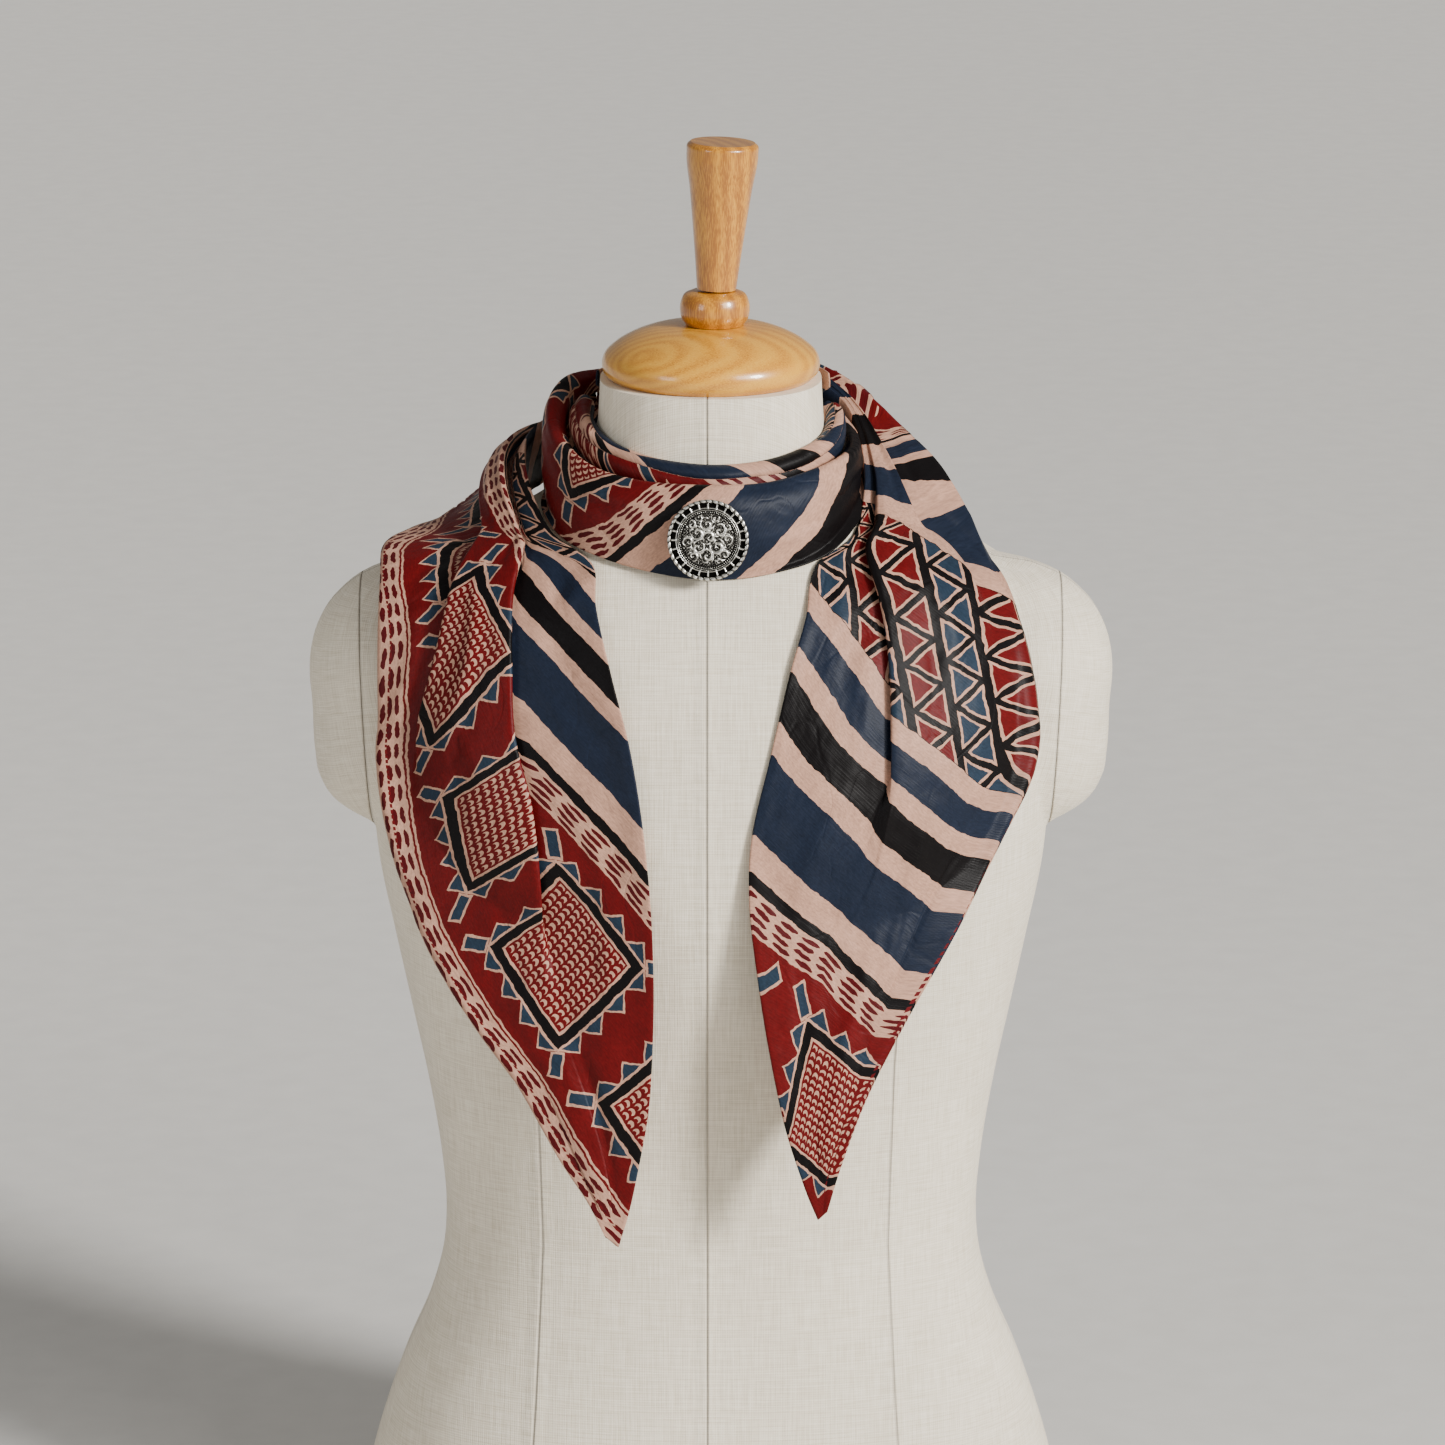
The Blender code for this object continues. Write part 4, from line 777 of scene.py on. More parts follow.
def print_colours(tree):
    """Draw the scarf's print from the cloth's own millimetres and give its colour."""
    add = functools.partial(add_node, tree)
    dye = {name: linear(value) for name, value in DYES.items()}
    place = add("Attribute", attribute_name="print").outputs["Vector"]
    # The screens' edges waver by about half a millimetre
    waver = add("TexNoise", {"Vector": place, "Scale": 0.16, "Detail": 2.0}).outputs["Color"]
    waver = add("VectorMath SUBTRACT", (waver, (0.5, 0.5, 0.5)))
    waver = add("VectorMath SCALE", {0: waver, "Scale": 2.4})
    spot = add("SeparateXYZ", (add("VectorMath ADD", (place, waver)),))
    along = spot.outputs[0]
    wide = spot.outputs[1]
    across = add("Math PINGPONG", (wide, STRIPE_TURN))

    # Stripes, over which the rest is painted layer by layer: where a layer lies, its colour
    share = add("Math DIVIDE", (across, STRIPE_TURN))
    ground = add("ValToRGB", (share,))
    set_ramp(ground, [(start / STRIPE_TURN, DYES[name]) for start, name in STRIPES], "CONSTANT")
    layers = []

    # Each square's teeth: distance from the middle grows toward every tooth's point
    side = add("Math WRAP", (along, SQUARE_REPEAT / 2.0, -SQUARE_REPEAT / 2.0))
    side = add("Math ABSOLUTE", (side,))
    rise = add("Math SUBTRACT", (across, SQUARE_MIDDLE))
    height = add("Math ABSOLUTE", (rise,))
    reach = add("Math MAXIMUM", (side, height))
    inset = add("Math MINIMUM", (side, height))
    tooth = add("Math SUBTRACT", (inset, TOOTH_HALF))
    tooth = add("Math WRAP", (tooth, TOOTH_HALF, -TOOTH_HALF))
    tooth = add("Math ABSOLUTE", (tooth,))
    tooth = add("Math ADD", (tooth, reach))
    beside = add("Math LESS_THAN", (inset, SQUARE_HALF))
    for limit, name in TOOTH_LAYERS:
        inside = add("Math LESS_THAN", (tooth, limit))
        layers.append((add("Math MULTIPLY", (inside, beside)), dye[name]))

    # A bar on each corner
    total = add("Math ADD", (side, height))
    total = add("Math MULTIPLY_ADD", (total, DIAGONAL, -BAR_MIDDLE))
    total = add("Math ABSOLUTE", (total,))
    total = add("Math SUBTRACT", (total, BAR_STRETCH))
    apart = add("Math SUBTRACT", (side, height))
    apart = add("Math ABSOLUTE", (apart,))
    apart = add("Math MULTIPLY", (apart, DIAGONAL))
    bar = add("Math MAXIMUM", (total, apart))
    for form, form_layers in ((bar, BAR_LAYERS), (reach, SQUARE_LAYERS)):
        for limit, name in form_layers:
            layers.append((add("Math LESS_THAN", (form, limit)), dye[name]))

    # Rows of small crescents
    column = add("Math WRAP", (rise, CRESCENT_GAP / 2.0, -CRESCENT_GAP / 2.0))
    bitten = add("Math ADD", (column, CRESCENT_SHIFT))
    row = add("Math WRAP", (along, CRESCENT_ROW_GAP / 2.0, -CRESCENT_ROW_GAP / 2.0))
    row = add("Math MULTIPLY", (row, row))
    crescent = add("Math LESS_THAN", (reach, CRESCENTS_WITHIN))
    for away, size, test in ((column, CRESCENT_DISC, "LESS_THAN"), (bitten, CRESCENT_BITE, "GREATER_THAN")):
        away = add("Math MULTIPLY_ADD", (away, away, row))
        away = add("Math " + test, (away, size))
        crescent = add("Math MULTIPLY", (crescent, away))
    layers.append((crescent, dye["cream"]))

    # Red dashes
    for start, end, shift in DASH_BANDS:
        middle = (start + end) / 2.0
        bow = add("Math SUBTRACT", (across, middle))
        bow = add("Math MULTIPLY", (bow, bow))
        bow = add("Math MULTIPLY_ADD", (bow, DASH_BOW, along))
        group = add("Math WRAP", (bow, DASH_GROUP / 2.0, -DASH_GROUP / 2.0))
        group = add("Math POWER", (add("Math ABSOLUTE", (group,)), 4.0))
        limit = add("Math MULTIPLY_ADD", (group, -DASH_TAPER, DASH_HALF))
        lane = add("Math SUBTRACT", (across, middle + shift))
        lane = add("Math WRAP", (lane, DASH_LANE / 2.0, -DASH_LANE / 2.0))
        lane = add("Math ABSOLUTE", (lane,))
        inside = add("Math LESS_THAN", (lane, limit))
        for test, edge in (("GREATER_THAN", start), ("LESS_THAN", end)):
            within = add("Math " + test, (across, edge))
            inside = add("Math MULTIPLY", (inside, within))
        layers.append((inside, dye["dash"]))

    # Strips of triangles on black lie slanting to the stripes, a red strip, then a blue one.
    # Two triangles point to and fro in every 22 mm of a strip, and the strips are 23 mm apart.
    down = add("Math MULTIPLY", (wide, TRIANGLES_DOWN[1]))
    down = add("Math MULTIPLY_ADD", (along, TRIANGLES_DOWN[0], down))
    strip = add("Math MULTIPLY_ADD", (wide, TRIANGLES_ASIDE[1], TRIANGLE_SHIFT))
    strip = add("Math MULTIPLY_ADD", (along, TRIANGLES_ASIDE[0], strip))
    number = add("Math FLOORED_MODULO", (add("Math FLOOR", (strip,)), 2.0))
    share = add("Math MULTIPLY_ADD", (add("Math FRACT", (strip,)), 1.25, -0.125))
    rest = add("Math SUBTRACT", (1.0, share))
    shape = None
    for base, turn in ((rest, 0.5), (share, 0.0)):
        place_down = add("Math ADD", (down, turn))
        place_down = add("Math WRAP", (place_down, 0.5, -0.5))
        place_down = add("Math ABSOLUTE", (place_down,))
        slant = add("Math MULTIPLY_ADD", (base, 0.5, -TRIANGLE_GAP))
        slant = add("Math SUBTRACT", (slant, place_down))
        slant = add("Math MULTIPLY", (slant, 20.0))
        foot = add("Math SUBTRACT", (1.0, base))
        foot = add("Math MULTIPLY", (foot, 17.0))
        inner = add("Math MINIMUM", (slant, foot))
        shape = inner if shape is None else add("Math MAXIMUM", (shape, inner))
    filling = add("Mix", {0: number, 6: dye["red"], 7: dye["blue"]}, data_type="RGBA").outputs[2]
    band = add("Math GREATER_THAN", (across, TRIANGLES_FROM))
    for margin, paint in ((0.0, dye["cream"]), (TRIANGLE_LINE, filling)):
        inside = add("Math GREATER_THAN", (shape, margin))
        layers.append((add("Math MULTIPLY", (inside, band)), paint))

    # Running stitches of dark red thread hold the rolled hem
    line = add("Math SUBTRACT", (add("Attribute", attribute_name="hem").outputs["Fac"], STITCH_LINE))
    line = add("Math LESS_THAN", (add("Math ABSOLUTE", (line,)), STITCH_HALF))
    run = add("Math FLOORED_MODULO", (add("Math ADD", (along, wide)), STITCH_REPEAT))
    run = add("Math LESS_THAN", (run, STITCH_LENGTH))
    layers.append((add("Math MULTIPLY", (line, run)), dye["thread"]))

    colour = ground.outputs[0]
    for inside, paint in layers:
        colour = add("Mix", {0: inside, 6: colour, 7: paint}, data_type="RGBA").outputs[2]
    return place, colour


def printed_twill():
    """Satin-faced twill, dyed by screen: a low, silky sheen, colours a little blotchy, edges soft."""
    made, tree, shader = start_finish("printed silk twill")
    add = functools.partial(add_node, tree)
    place, colour = print_colours(tree)
    blotch = add("TexNoise", {"Vector": place, "Scale": 0.07, "Detail": 6.0, "Roughness": 0.65})
    blotch = add("MapRange", (blotch, 0.3, 0.7, 0.84, 1.12))
    # Silk's uneven threads take the dye unevenly
    slub = add("Mapping", {"Vector": place, "Scale": (0.35, 1.1, 1.0)})
    slub = add("TexNoise", {"Vector": slub, "Scale": 1.0, "Detail": 3.0, "Roughness": 0.7})
    slub = add("MapRange", (slub, 0.3, 0.7, 0.76, 1.22))
    for shade in (blotch, slub):
        colour = add("Mix", {0: 1.0, 6: colour, 7: shade}, data_type="RGBA", blend_type="MULTIPLY")
        colour = colour.outputs[2]
    # The twill's ribs are 0.3 mm apart; they are drawn at 0.9 mm to show in the render
    spot = add("SeparateXYZ", (place,))
    rib = add("Math ADD", (spot.outputs[0], spot.outputs[1]))
    rib = add("Math MULTIPLY", (rib, 2.0 * math.pi / 0.9))
    rib = add("Math SINE", (rib,))
    # Threads of uneven thickness run along the cloth's two directions
    threads = add("Mapping", {"Vector": place, "Scale": (0.03, 1.1, 1.0)})
    threads = add("TexNoise", {"Vector": threads, "Scale": 1.0, "Detail": 2.0})
    threads = add("Math MULTIPLY", (threads, 2.2))
    height = add("Math MULTIPLY_ADD", (rib, 0.35, threads))
    rumple = add("TexNoise", {"Vector": place, "Scale": 0.045, "Detail": 2.5, "Roughness": 0.5})
    # Handling leaves a few narrow creases, where a slow noise crosses its middle
    crinkle = add("TexNoise", {"Vector": place, "Scale": 0.022, "Detail": 1.5, "Distortion": 0.8})
    crinkle = add("Math SUBTRACT", (crinkle, 0.5))
    crinkle = add("Math ABSOLUTE", (crinkle,))
    crinkle = add("MapRange", (crinkle, 0.0, 0.03, 1.0, 0.0), interpolation_type="SMOOTHSTEP")
    rumple = add("Math MULTIPLY_ADD", (crinkle, 0.06, rumple))
    fine = add("Bump", {"Height": height, "Strength": 0.3, "Distance": 0.0002})
    soft = add("Bump", {"Height": rumple, "Strength": 0.45, "Distance": 0.004, "Normal": fine})
    set_inputs(tree, shader, {"Base Color": colour, "Normal": soft, "Roughness": 0.42,
                              "Specular IOR Level": 0.12})
    return made


def form_linen():
    """Unbleached plain-weave linen over padding: matt, slubby, with seams pulled in a little and painted
    shade in their grooves.
    """
    made, tree, shader = start_finish("plain-weave linen")
    add = functools.partial(add_node, tree)
    weave = add("Attribute", attribute_name="weave").outputs["Vector"]
    lengths = add("SeparateXYZ", (weave,))
    # Threads are 0.6 mm apart; they are drawn at 1.2 mm to show in the render
    threads = []
    for place, stretch in ((lengths.outputs[0], (0.85, 0.05, 1.0)), (lengths.outputs[1], (0.05, 0.85, 1.0))):
        wave = add("Math MULTIPLY", (place, 2.0 * math.pi / 1.2))
        wave = add("Math SINE", (wave,))
        slub = add("Mapping", {"Vector": weave, "Scale": stretch})
        slub = add("TexNoise", {"Vector": slub, "Scale": 1.0, "Detail": 3.0})
        slub = add("Math MULTIPLY", (slub, 5.0))
        threads.append(add("Math MULTIPLY_ADD", (wave, 0.5, slub)))
    height = add("Math ADD", (threads[0], threads[1]))
    tone = add("MapRange", (height, 3.2, 6.8, 0.0, 1.0))
    colour = add("Mix", {0: tone, 6: linear("#d6cab3"), 7: linear("#f5ecd9")}, data_type="RGBA").outputs[2]
    patch = add("TexNoise", {"Vector": weave, "Scale": 0.012, "Detail": 3.0})
    patch = add("MapRange", (patch, 0.3, 0.7, 0.95, 1.03))
    colour = add("Mix", {0: 1.0, 6: colour, 7: patch}, data_type="RGBA", blend_type="MULTIPLY").outputs[2]
    # Seams run down the middle, down a panel and the side at each hand, and round the armholes
    spot = add("SeparateXYZ", (add("Attribute", attribute_name="spot").outputs["Vector"],))
    across = add("Math ABSOLUTE", (spot.outputs[0],))
    centre = add("Math SUBTRACT", (spot.outputs[0], CENTRE_SEAM))
    panel = add("Attribute", attribute_name="panel").outputs["Fac"]
    above_panel = add("Math GREATER_THAN", (spot.outputs[2], PANEL_TOP))
    off_side = add("Math LESS_THAN", (across, SIDE_SEAM_FROM))
    lean = math.tan(ARM_CAP_SEAM_LEAN)
    armhole = add("Math MULTIPLY_ADD", (spot.outputs[2], -lean, across))
    armhole = add("Math SUBTRACT", (armhole, (ARM_CAP_SEAM_TOP - ARM_CAP_SECTIONS[-1, 0] * lean) / MM))
    below_cap = add("Math LESS_THAN", (spot.outputs[2], ARMHOLE_FROM))
    seam = None
    for away, absent in ((centre, 0.0), (panel, above_panel), (spot.outputs[1], off_side),
                         (armhole, below_cap)):
        away = add("Math ABSOLUTE", (away,))
        away = add("Math MULTIPLY_ADD", (absent, NO_SEAM, away))
        seam = away if seam is None else add("Math MINIMUM", (seam, away))
    # A seam is a narrow groove between two soft shoulders
    groove = add("MapRange", (seam, 0.0, 1.1, 1.0, 0.0), interpolation_type="SMOOTHSTEP")
    shoulder = add("MapRange", (seam, 0.5, 7.0, 1.0, 0.0), interpolation_type="SMOOTHSTEP")
    # Painted shade: the linen's colour is mixed toward a dull brown inside each seam's groove
    shade = add("Math MULTIPLY", (groove, 0.45))
    colour = add("Mix", {0: shade, 6: colour, 7: linear("#8f8679")}, data_type="RGBA").outputs[2]
    pucker = add("Mapping", {"Vector": weave, "Scale": (0.05, 0.22, 1.0)})
    pucker = add("TexNoise", {"Vector": pucker, "Scale": 1.0, "Detail": 1.0})
    pucker = add("Math MULTIPLY", (pucker, shoulder))
    relief = add("Math MULTIPLY_ADD", (groove, -1.0, pucker))
    fine = add("Bump", {"Height": height, "Strength": 0.3, "Distance": 0.00012})
    sewn = add("Bump", {"Height": relief, "Strength": 0.7, "Distance": 0.0012, "Normal": fine})
    set_inputs(tree, shader, {"Base Color": colour, "Normal": sewn, "Roughness": 0.92,
                              "Specular IOR Level": 0.25, "Sheen Weight": 0.1})
    return made


def varnished_wood(name, across_x, across_y, across_z, middle, depth):
    """Turned pale hardwood under clear varnish: honey colour, drawn-out grain, sharp reflections."""
    made, tree, shader = start_finish(name)
    add = functools.partial(add_node, tree)
    place = add("TexCoord").outputs["Object"]
    # Distance from the tree's heart in millimetres gives the yearly rings, 5 mm apart
    bent = add("TexNoise", {"Vector": place, "Scale": 22.0, "Detail": 2.0}).outputs["Color"]
    bent = add("VectorMath MULTIPLY_ADD", (bent, (0.012, 0.012, 0.012), place))
    moved = add("Mapping", {"Vector": bent, "Location": middle, "Scale": (across_x, across_y, across_z)})
    rings = add("VectorMath LENGTH", (moved,)).outputs["Value"]
    rings = add("Math MULTIPLY", (rings, 2.0 * math.pi / 5.0))
    rings = add("Math SINE", (rings,))
    pores = add("Mapping", {"Vector": place, "Scale": (across_x * 2.6, across_y * 2.6, across_z * 2.6)})
    pores = add("TexNoise", {"Vector": pores, "Scale": 1.0, "Detail": 4.0})
    tone = add("Math MULTIPLY_ADD", (rings, 0.09, pores))
    tone = add("Math ADD", (tone, depth))
    ramp = add("ValToRGB", (tone,))
    set_ramp(ramp, [(0.22, "#e8b040"), (0.45, "#de9e2e"), (0.62, "#cb8824"), (0.8, "#a26418")])
    fine = add("Bump", {"Height": pores, "Strength": 0.08, "Distance": 0.0003})
    set_inputs(tree, shader, {"Base Color": ramp, "Normal": fine, "Roughness": 0.34,
                              "Coat Weight": 0.7, "Coat Roughness": 0.12})
    return made


def oxidised_silver():
    """Cast base metal plated with silver and darkened: bright rubbed tops, black oxide in the hollows, and
    the same black as painted shade in the gallery's windows.
    """
    made, tree, shader = start_finish("oxidised silver plate")
    add = functools.partial(add_node, tree)
    wear_and_shade = add("Attribute", attribute_name="wear_and_shade").outputs["Fac"]
    place = add("TexCoord").outputs["Object"]
    grit = add("TexNoise", {"Vector": place, "Scale": 1400.0, "Detail": 3.0})
    # High values are rubbed bright tops; low ones are oxide in hollows, and painted shade in the gallery's
    # windows
    tone = add("Math MULTIPLY_ADD", (grit, 0.35, wear_and_shade))
    ramp = add("ValToRGB", (tone,))
    set_ramp(ramp, [(0.22, "#0e0d0c"), (0.5, "#4f4d49"), (0.75, "#bdbcb5"), (1.0, "#f6f5ef")])
    rough = add("MapRange", (tone, 0.2, 1.0, 0.55, 0.27))
    fine = add("Bump", {"Height": grit, "Strength": 0.25, "Distance": 0.0001})
    set_inputs(tree, shader, {"Base Color": ramp, "Metallic": 1.0, "Roughness": rough, "Normal": fine})
    return made


def studio_floor():
    """Seamless matt paper: even and pale."""
    made, tree, shader = start_finish("matt paper")
    add = functools.partial(add_node, tree)
    place = add("TexCoord").outputs["Object"]
    fibre = add("TexNoise", {"Vector": place, "Scale": 40.0, "Detail": 3.0})
    tone = add("MapRange", (fibre, 0.3, 0.7, 0.0, 1.0))
    colour = add("Mix", {0: tone, 6: linear("#dedcd8"), 7: linear("#e3e1dd")}, data_type="RGBA")
    set_inputs(tree, shader, {"Base Color": colour.outputs[2], "Roughness": 0.95})
    return made


def add_piece(name, points, faces, finish, node, layers=(), sharp_degrees=None):
    """Make one piece of the model, with its values per point, that stands for a CAD node."""
    mesh = bpy.data.meshes.new(name)
    mesh.from_pydata(np.asarray(points).tolist(), [], faces)
    for word, values in layers:
        kind = "FLOAT_VECTOR" if values.ndim == 2 else "FLOAT"
        layer = mesh.attributes.new(word, kind, "POINT")
        layer.data.foreach_set("vector" if values.ndim == 2 else "value", values.astype(np.float32).ravel())
    mesh.update()
    mesh.shade_smooth()
    if sharp_degrees:
        mesh.set_sharp_from_angle(angle=math.radians(sharp_degrees))
    piece = bpy.data.objects.new(name, mesh)
    mesh.materials.append(finish)
    bpy.context.scene.collection.objects.link(piece)
    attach(piece, "root")
    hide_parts(node)
    return piece


def grid_faces(rows, columns, start=0, closed=False, flip=False):
    """List the four-sided faces of a grid of points."""
    faces = []
    for row in range(rows - 1):
        for column in range(columns if closed else columns - 1):
            after = (column + 1) % columns
            ring = (start + row * columns + column, start + row * columns + after,
                    start + (row + 1) * columns + after, start + (row + 1) * columns + column)
            faces.append(tuple(reversed(ring)) if flip else ring)
    return faces


def add_cloth(name, grid, outward, finish, print_place, hem=NO_HEM):
    """Make a closed thin shell about a grid, with the print's millimetres at each point."""
    hem = hem + np.zeros(grid.shape[:2])
    thickness = CLOTH_THICKNESS + HEM_RISE * np.clip(1.5 - hem / HEM_WIDTH, 0.0, 1.0)
    rows, columns = grid.shape[:2]
    shift = grid_normals(grid, outward) * thickness[..., None] / 2.0
    points = np.concatenate([(grid + shift).reshape(-1, 3), (grid - shift).reshape(-1, 3)])
    back = rows * columns
    facing = outward < 0.0
    faces = grid_faces(rows, columns, 0, flip=facing)
    faces += grid_faces(rows, columns, back, flip=not facing)
    edge = list(range(columns))
    edge += [row * columns + columns - 1 for row in range(1, rows)]
    edge += [(rows - 1) * columns + column for column in range(columns - 2, -1, -1)]
    edge += [row * columns for row in range(rows - 2, 0, -1)]
    for first, second in zip(edge, edge[1:] + edge[:1]):
        rim = (second, first, first + back, second + back)
        faces.append(tuple(reversed(rim)) if facing else rim)
    place = np.concatenate([print_place.reshape(-1, 2)] * 2)
    place = np.concatenate([place, np.zeros((len(place), 1))], axis=1)
    return add_piece("twill_" + name, points, faces, finish, "scarf_" + name,
                     [("print", place), ("hem", np.concatenate([hem.ravel()] * 2))])


def read_columns(table, places):
    """Read each of a table's columns at places along its first one."""
    return [np.interp(places, table[:, 0], column) for column in table.T[1:]]


def lengths_across(grid):
    """Give each point's distance along its row from the row's first point, in millimetres."""
    steps = np.linalg.norm(np.diff(grid, axis=1), axis=2) / MM
    return np.concatenate([np.zeros((len(grid), 1)), np.cumsum(steps, axis=1)], axis=1)


def pleat_ends(pleats):
    """Give the samples between which each of an end's two pleats hides its cloth."""
    place_in, depth_in, _, place_out, depth_out, _ = pleats
    first = PLEAT_KNOTS[0] * place_in / (place_in + max(depth_in, 0.0))
    last = PLEAT_KNOTS[3] + ((1.0 - PLEAT_KNOTS[3]) * max(depth_out, 0.0)
                             / (UNDER_END - place_out + max(depth_out, 0.0)))
    return min(first, HIDDEN_FROM), max(last, HIDDEN_TO)


def cloth_widths(grid, samples, pleat_rows, folded_rows):
    """Give each point's distance across the flat cloth from its inner edge, in millimetres."""
    arcs = lengths_across(grid)
    widths = []
    for arc, pleats, folded in zip(arcs, pleat_rows, folded_rows):
        first, last = pleat_ends(pleats)
        hidden_in = np.clip((samples - first) / (PLEAT_KNOTS[1] - first), 0.0, 1.0)
        hidden_out = np.clip((samples - PLEAT_KNOTS[2]) / (last - PLEAT_KNOTS[2]), 0.0, 1.0)
        folds_in = min(folded[0] / FOLDED_FULL, 1.0) * (hidden_in > 0.0) * (hidden_in < 1.0)
        folds_out = min(folded[1] / FOLDED_FULL, 1.0) * (hidden_out > 0.0) * (hidden_out < 1.0)
        seen = np.diff(arc) * (1.0 - np.maximum(folds_in, folds_out))[1:]
        seen = np.concatenate([[0.0], np.cumsum(seen)]) / WIDTH_SHRINK
        seen = seen - np.interp(0.0, samples, seen)
        widths.append(seen + hidden_in * folded[0] + hidden_out * folded[1])
    return even_rows(np.array(widths), EVEN_SPREAD)


def left_print(grid, samples, stations, pleat_rows):
    """Lay the print over the left end, whose outer edge is hemmed: along and across the stripes."""
    folded_rows = np.stack(read_columns(FOLDED_LEFT, stations), axis=-1)
    width = cloth_widths(grid, samples, pleat_rows, folded_rows)
    fold = grid[:, np.argmin(np.abs(samples))]
    rise = np.linalg.norm(np.diff(fold, axis=0), axis=1) / MM
    height = np.interp(np.concatenate([[0.0], np.cumsum(rise)]), *HEIGHT_LEFT.T)[:, None]
    width = width * even_rows(height / np.maximum(width[:, -1:], 1.0), 2.0 * EVEN_SPREAD)
    along = (height + width) / math.sqrt(2.0) - LEFT_SQUARES
    across = (height - width) / math.sqrt(2.0)
    return along, across, np.abs(across)


def right_print(samples, stations, pleat_rows):
    """Lay the print over the right end, whose outer edge is hemmed below the shoulder."""
    rows = np.stack(read_columns(PRINT_RIGHT, stations), axis=-1)
    placed = []
    for row, pleats in zip(rows, pleat_rows):
        first, last = pleat_ends(pleats)
        knots = (0.0, first, PLEAT_KNOTS[1], PLEAT_KNOTS[2], last, 1.0)
        placed.append((np.interp(samples, knots, row[6:]), np.interp(samples, knots, row[:6])))
    along, across = even_rows(np.array(placed), EVEN_SPREAD).transpose(1, 0, 2)
    below = np.where(stations > HEM_END_RIGHT, NO_HEM, 0.0)[:, None]
    return along, across, np.abs(along + RIGHT_SQUARES) + below


def turn_edge(grid, samples, stations, deep_rows):
    """Turn the folded inner edge under: a small roll, which drops deeper beside the neck."""
    inward = unit(grid[:, 0] - grid[:, 4])
    drop = np.interp(stations, deep_rows[:, 0], deep_rows[:, 1])[:, None] * np.array([0.0, 0.0, -1.0])
    turns = np.linspace(1.0, 1.0 / EDGE_COLUMNS, EDGE_COLUMNS)
    rolled = [grid[:, 0] + (inward * EDGE_ROLL * math.sin(math.pi * turn)
                            + turn * (drop + np.array([0.0, EDGE_ROLL_BACK, 0.0]))) * MM for turn in turns]
    rolled = keep_clear(np.stack(rolled, axis=1), CLOTH_CLEARANCE)
    return np.concatenate([rolled, grid], axis=1), np.concatenate([-EDGE_SAMPLES * turns, samples])


def even_rows(values, spread):
    """Smooth values along the rows of a grid, over a spread of rows."""
    reach = int(3 * spread)
    weights = np.exp(-(np.arange(-reach, reach + 1) / spread) ** 2 / 2.0)
    padded = np.concatenate([np.repeat(values[:1], reach, axis=0), values,
                             np.repeat(values[-1:], reach, axis=0)])
    return sum(weight * padded[start:start + len(values)]
               for start, weight in enumerate(weights / weights.sum()))


def press_creases(grid, outward, stations, samples, creases, folds=(0.40, 0.77)):
    """Raise ridges and sink troughs along lines on a grid, softest at their ends."""
    normals = grid_normals(grid, outward)
    layer = np.searchsorted(folds, samples)
    moved = grid.copy()
    for row_from, share_from, row_to, share_to, half_width, rise in creases:
        steps = np.linspace(0.0, 1.0, CREASE_STEPS)
        bow = 0.02 * np.sin(math.pi * steps * 2.0)
        row_places = np.interp(row_from + (row_to - row_from) * steps, stations, np.arange(len(stations)))
        share_places = share_from + (share_to - share_from) * steps + bow
        columns = np.interp(share_places, samples, np.arange(len(samples)))
        path = grid[np.rint(row_places).astype(int), np.rint(columns).astype(int)]
        own = layer[int(round(np.interp((share_from + share_to) / 2.0, samples, np.arange(len(samples)))))]
        apart = np.linalg.norm(grid[:, :, None] - path[None, None], axis=3)
        nearest = apart.argmin(axis=2)
        apart = apart.min(axis=2) / MM
        fade = np.sin(math.pi * np.clip(steps[nearest], 0.0, 1.0)) ** 0.6
        swell = rise * MM * fade * np.exp(-(apart / half_width) ** 2) * (layer == own)[None, :]
        moved = moved + normals * swell[..., None]
    return moved


def finer(samples, split):
    """Divide the gaps between samples evenly."""
    places = np.arange(len(samples))
    return np.interp(np.linspace(0.0, places[-1], split * places[-1] + 1), places, samples)


def make_tail(word, guides, pleat_table, deep_rows, outward, creases, finish):
    """Make one hanging end of the scarf with its pleats, creases, hem and print."""
    samples = finer(np.array(ROW_SAMPLES), TAIL_COLUMN_SPLIT)
    grid = tail_grid(guides, pleat_table, outward, TAIL_ROW_COUNT, samples)
    stations = np.linspace(0.0, len(guides) - 1.0, TAIL_ROW_COUNT)
    grid = press_creases(grid, outward, stations, samples, creases)
    grid, samples = turn_edge(grid, samples, stations, deep_rows)
    pleat_rows = smooth_between(pleat_table[:, 0], pleat_table[:, 1:], stations)
    if word == "left":
        along, across, hem = left_print(grid, samples, stations, pleat_rows)
    else:
        along, across, hem = right_print(samples, stations, pleat_rows)
    place = np.stack([along, across], axis=-1)
    return add_cloth("tail_" + word, grid, outward, finish, place, hem)


def front_print(grid):
    """Lay the print over the collar's outer band: along and across the stripes."""
    up = lengths_across(grid)
    up = up / (FRONT_CREST * up[:, -1:])
    columns = read_columns(FRONT_PRINT, band_angles(FRONT_PRINT, len(grid)))
    low_across, crest_across, low_along, crest_along = [column[:, None] for column in columns]
    along = low_along + (crest_along - low_along) * up
    across = low_across + (crest_across - low_across) * up
    return np.stack([along, across], axis=-1)


def inner_folds(grid):
    """Give each point's fold of the inner roll, and its share of that fold's width."""
    shares = lengths_across(grid)
    shares = shares / shares[:, -1:]
    turn = np.linspace(0.0, 1.0, len(grid))[:, None]
    slow_wave, quick_wave = INNER_WAVES
    first, second = [place + slow_wave * np.sin(slow * turn + start) + quick_wave * np.sin(quick * turn)
                     for place, slow, start, quick in INNER_FOLDS]
    fold = (shares > first).astype(int) + (shares > second)
    start = np.select([fold == 0, fold == 1], [0.0, first], second)
    end = np.select([fold == 0, fold == 1], [first, second], 1.0)
    return fold, (shares - start) / (end - start)


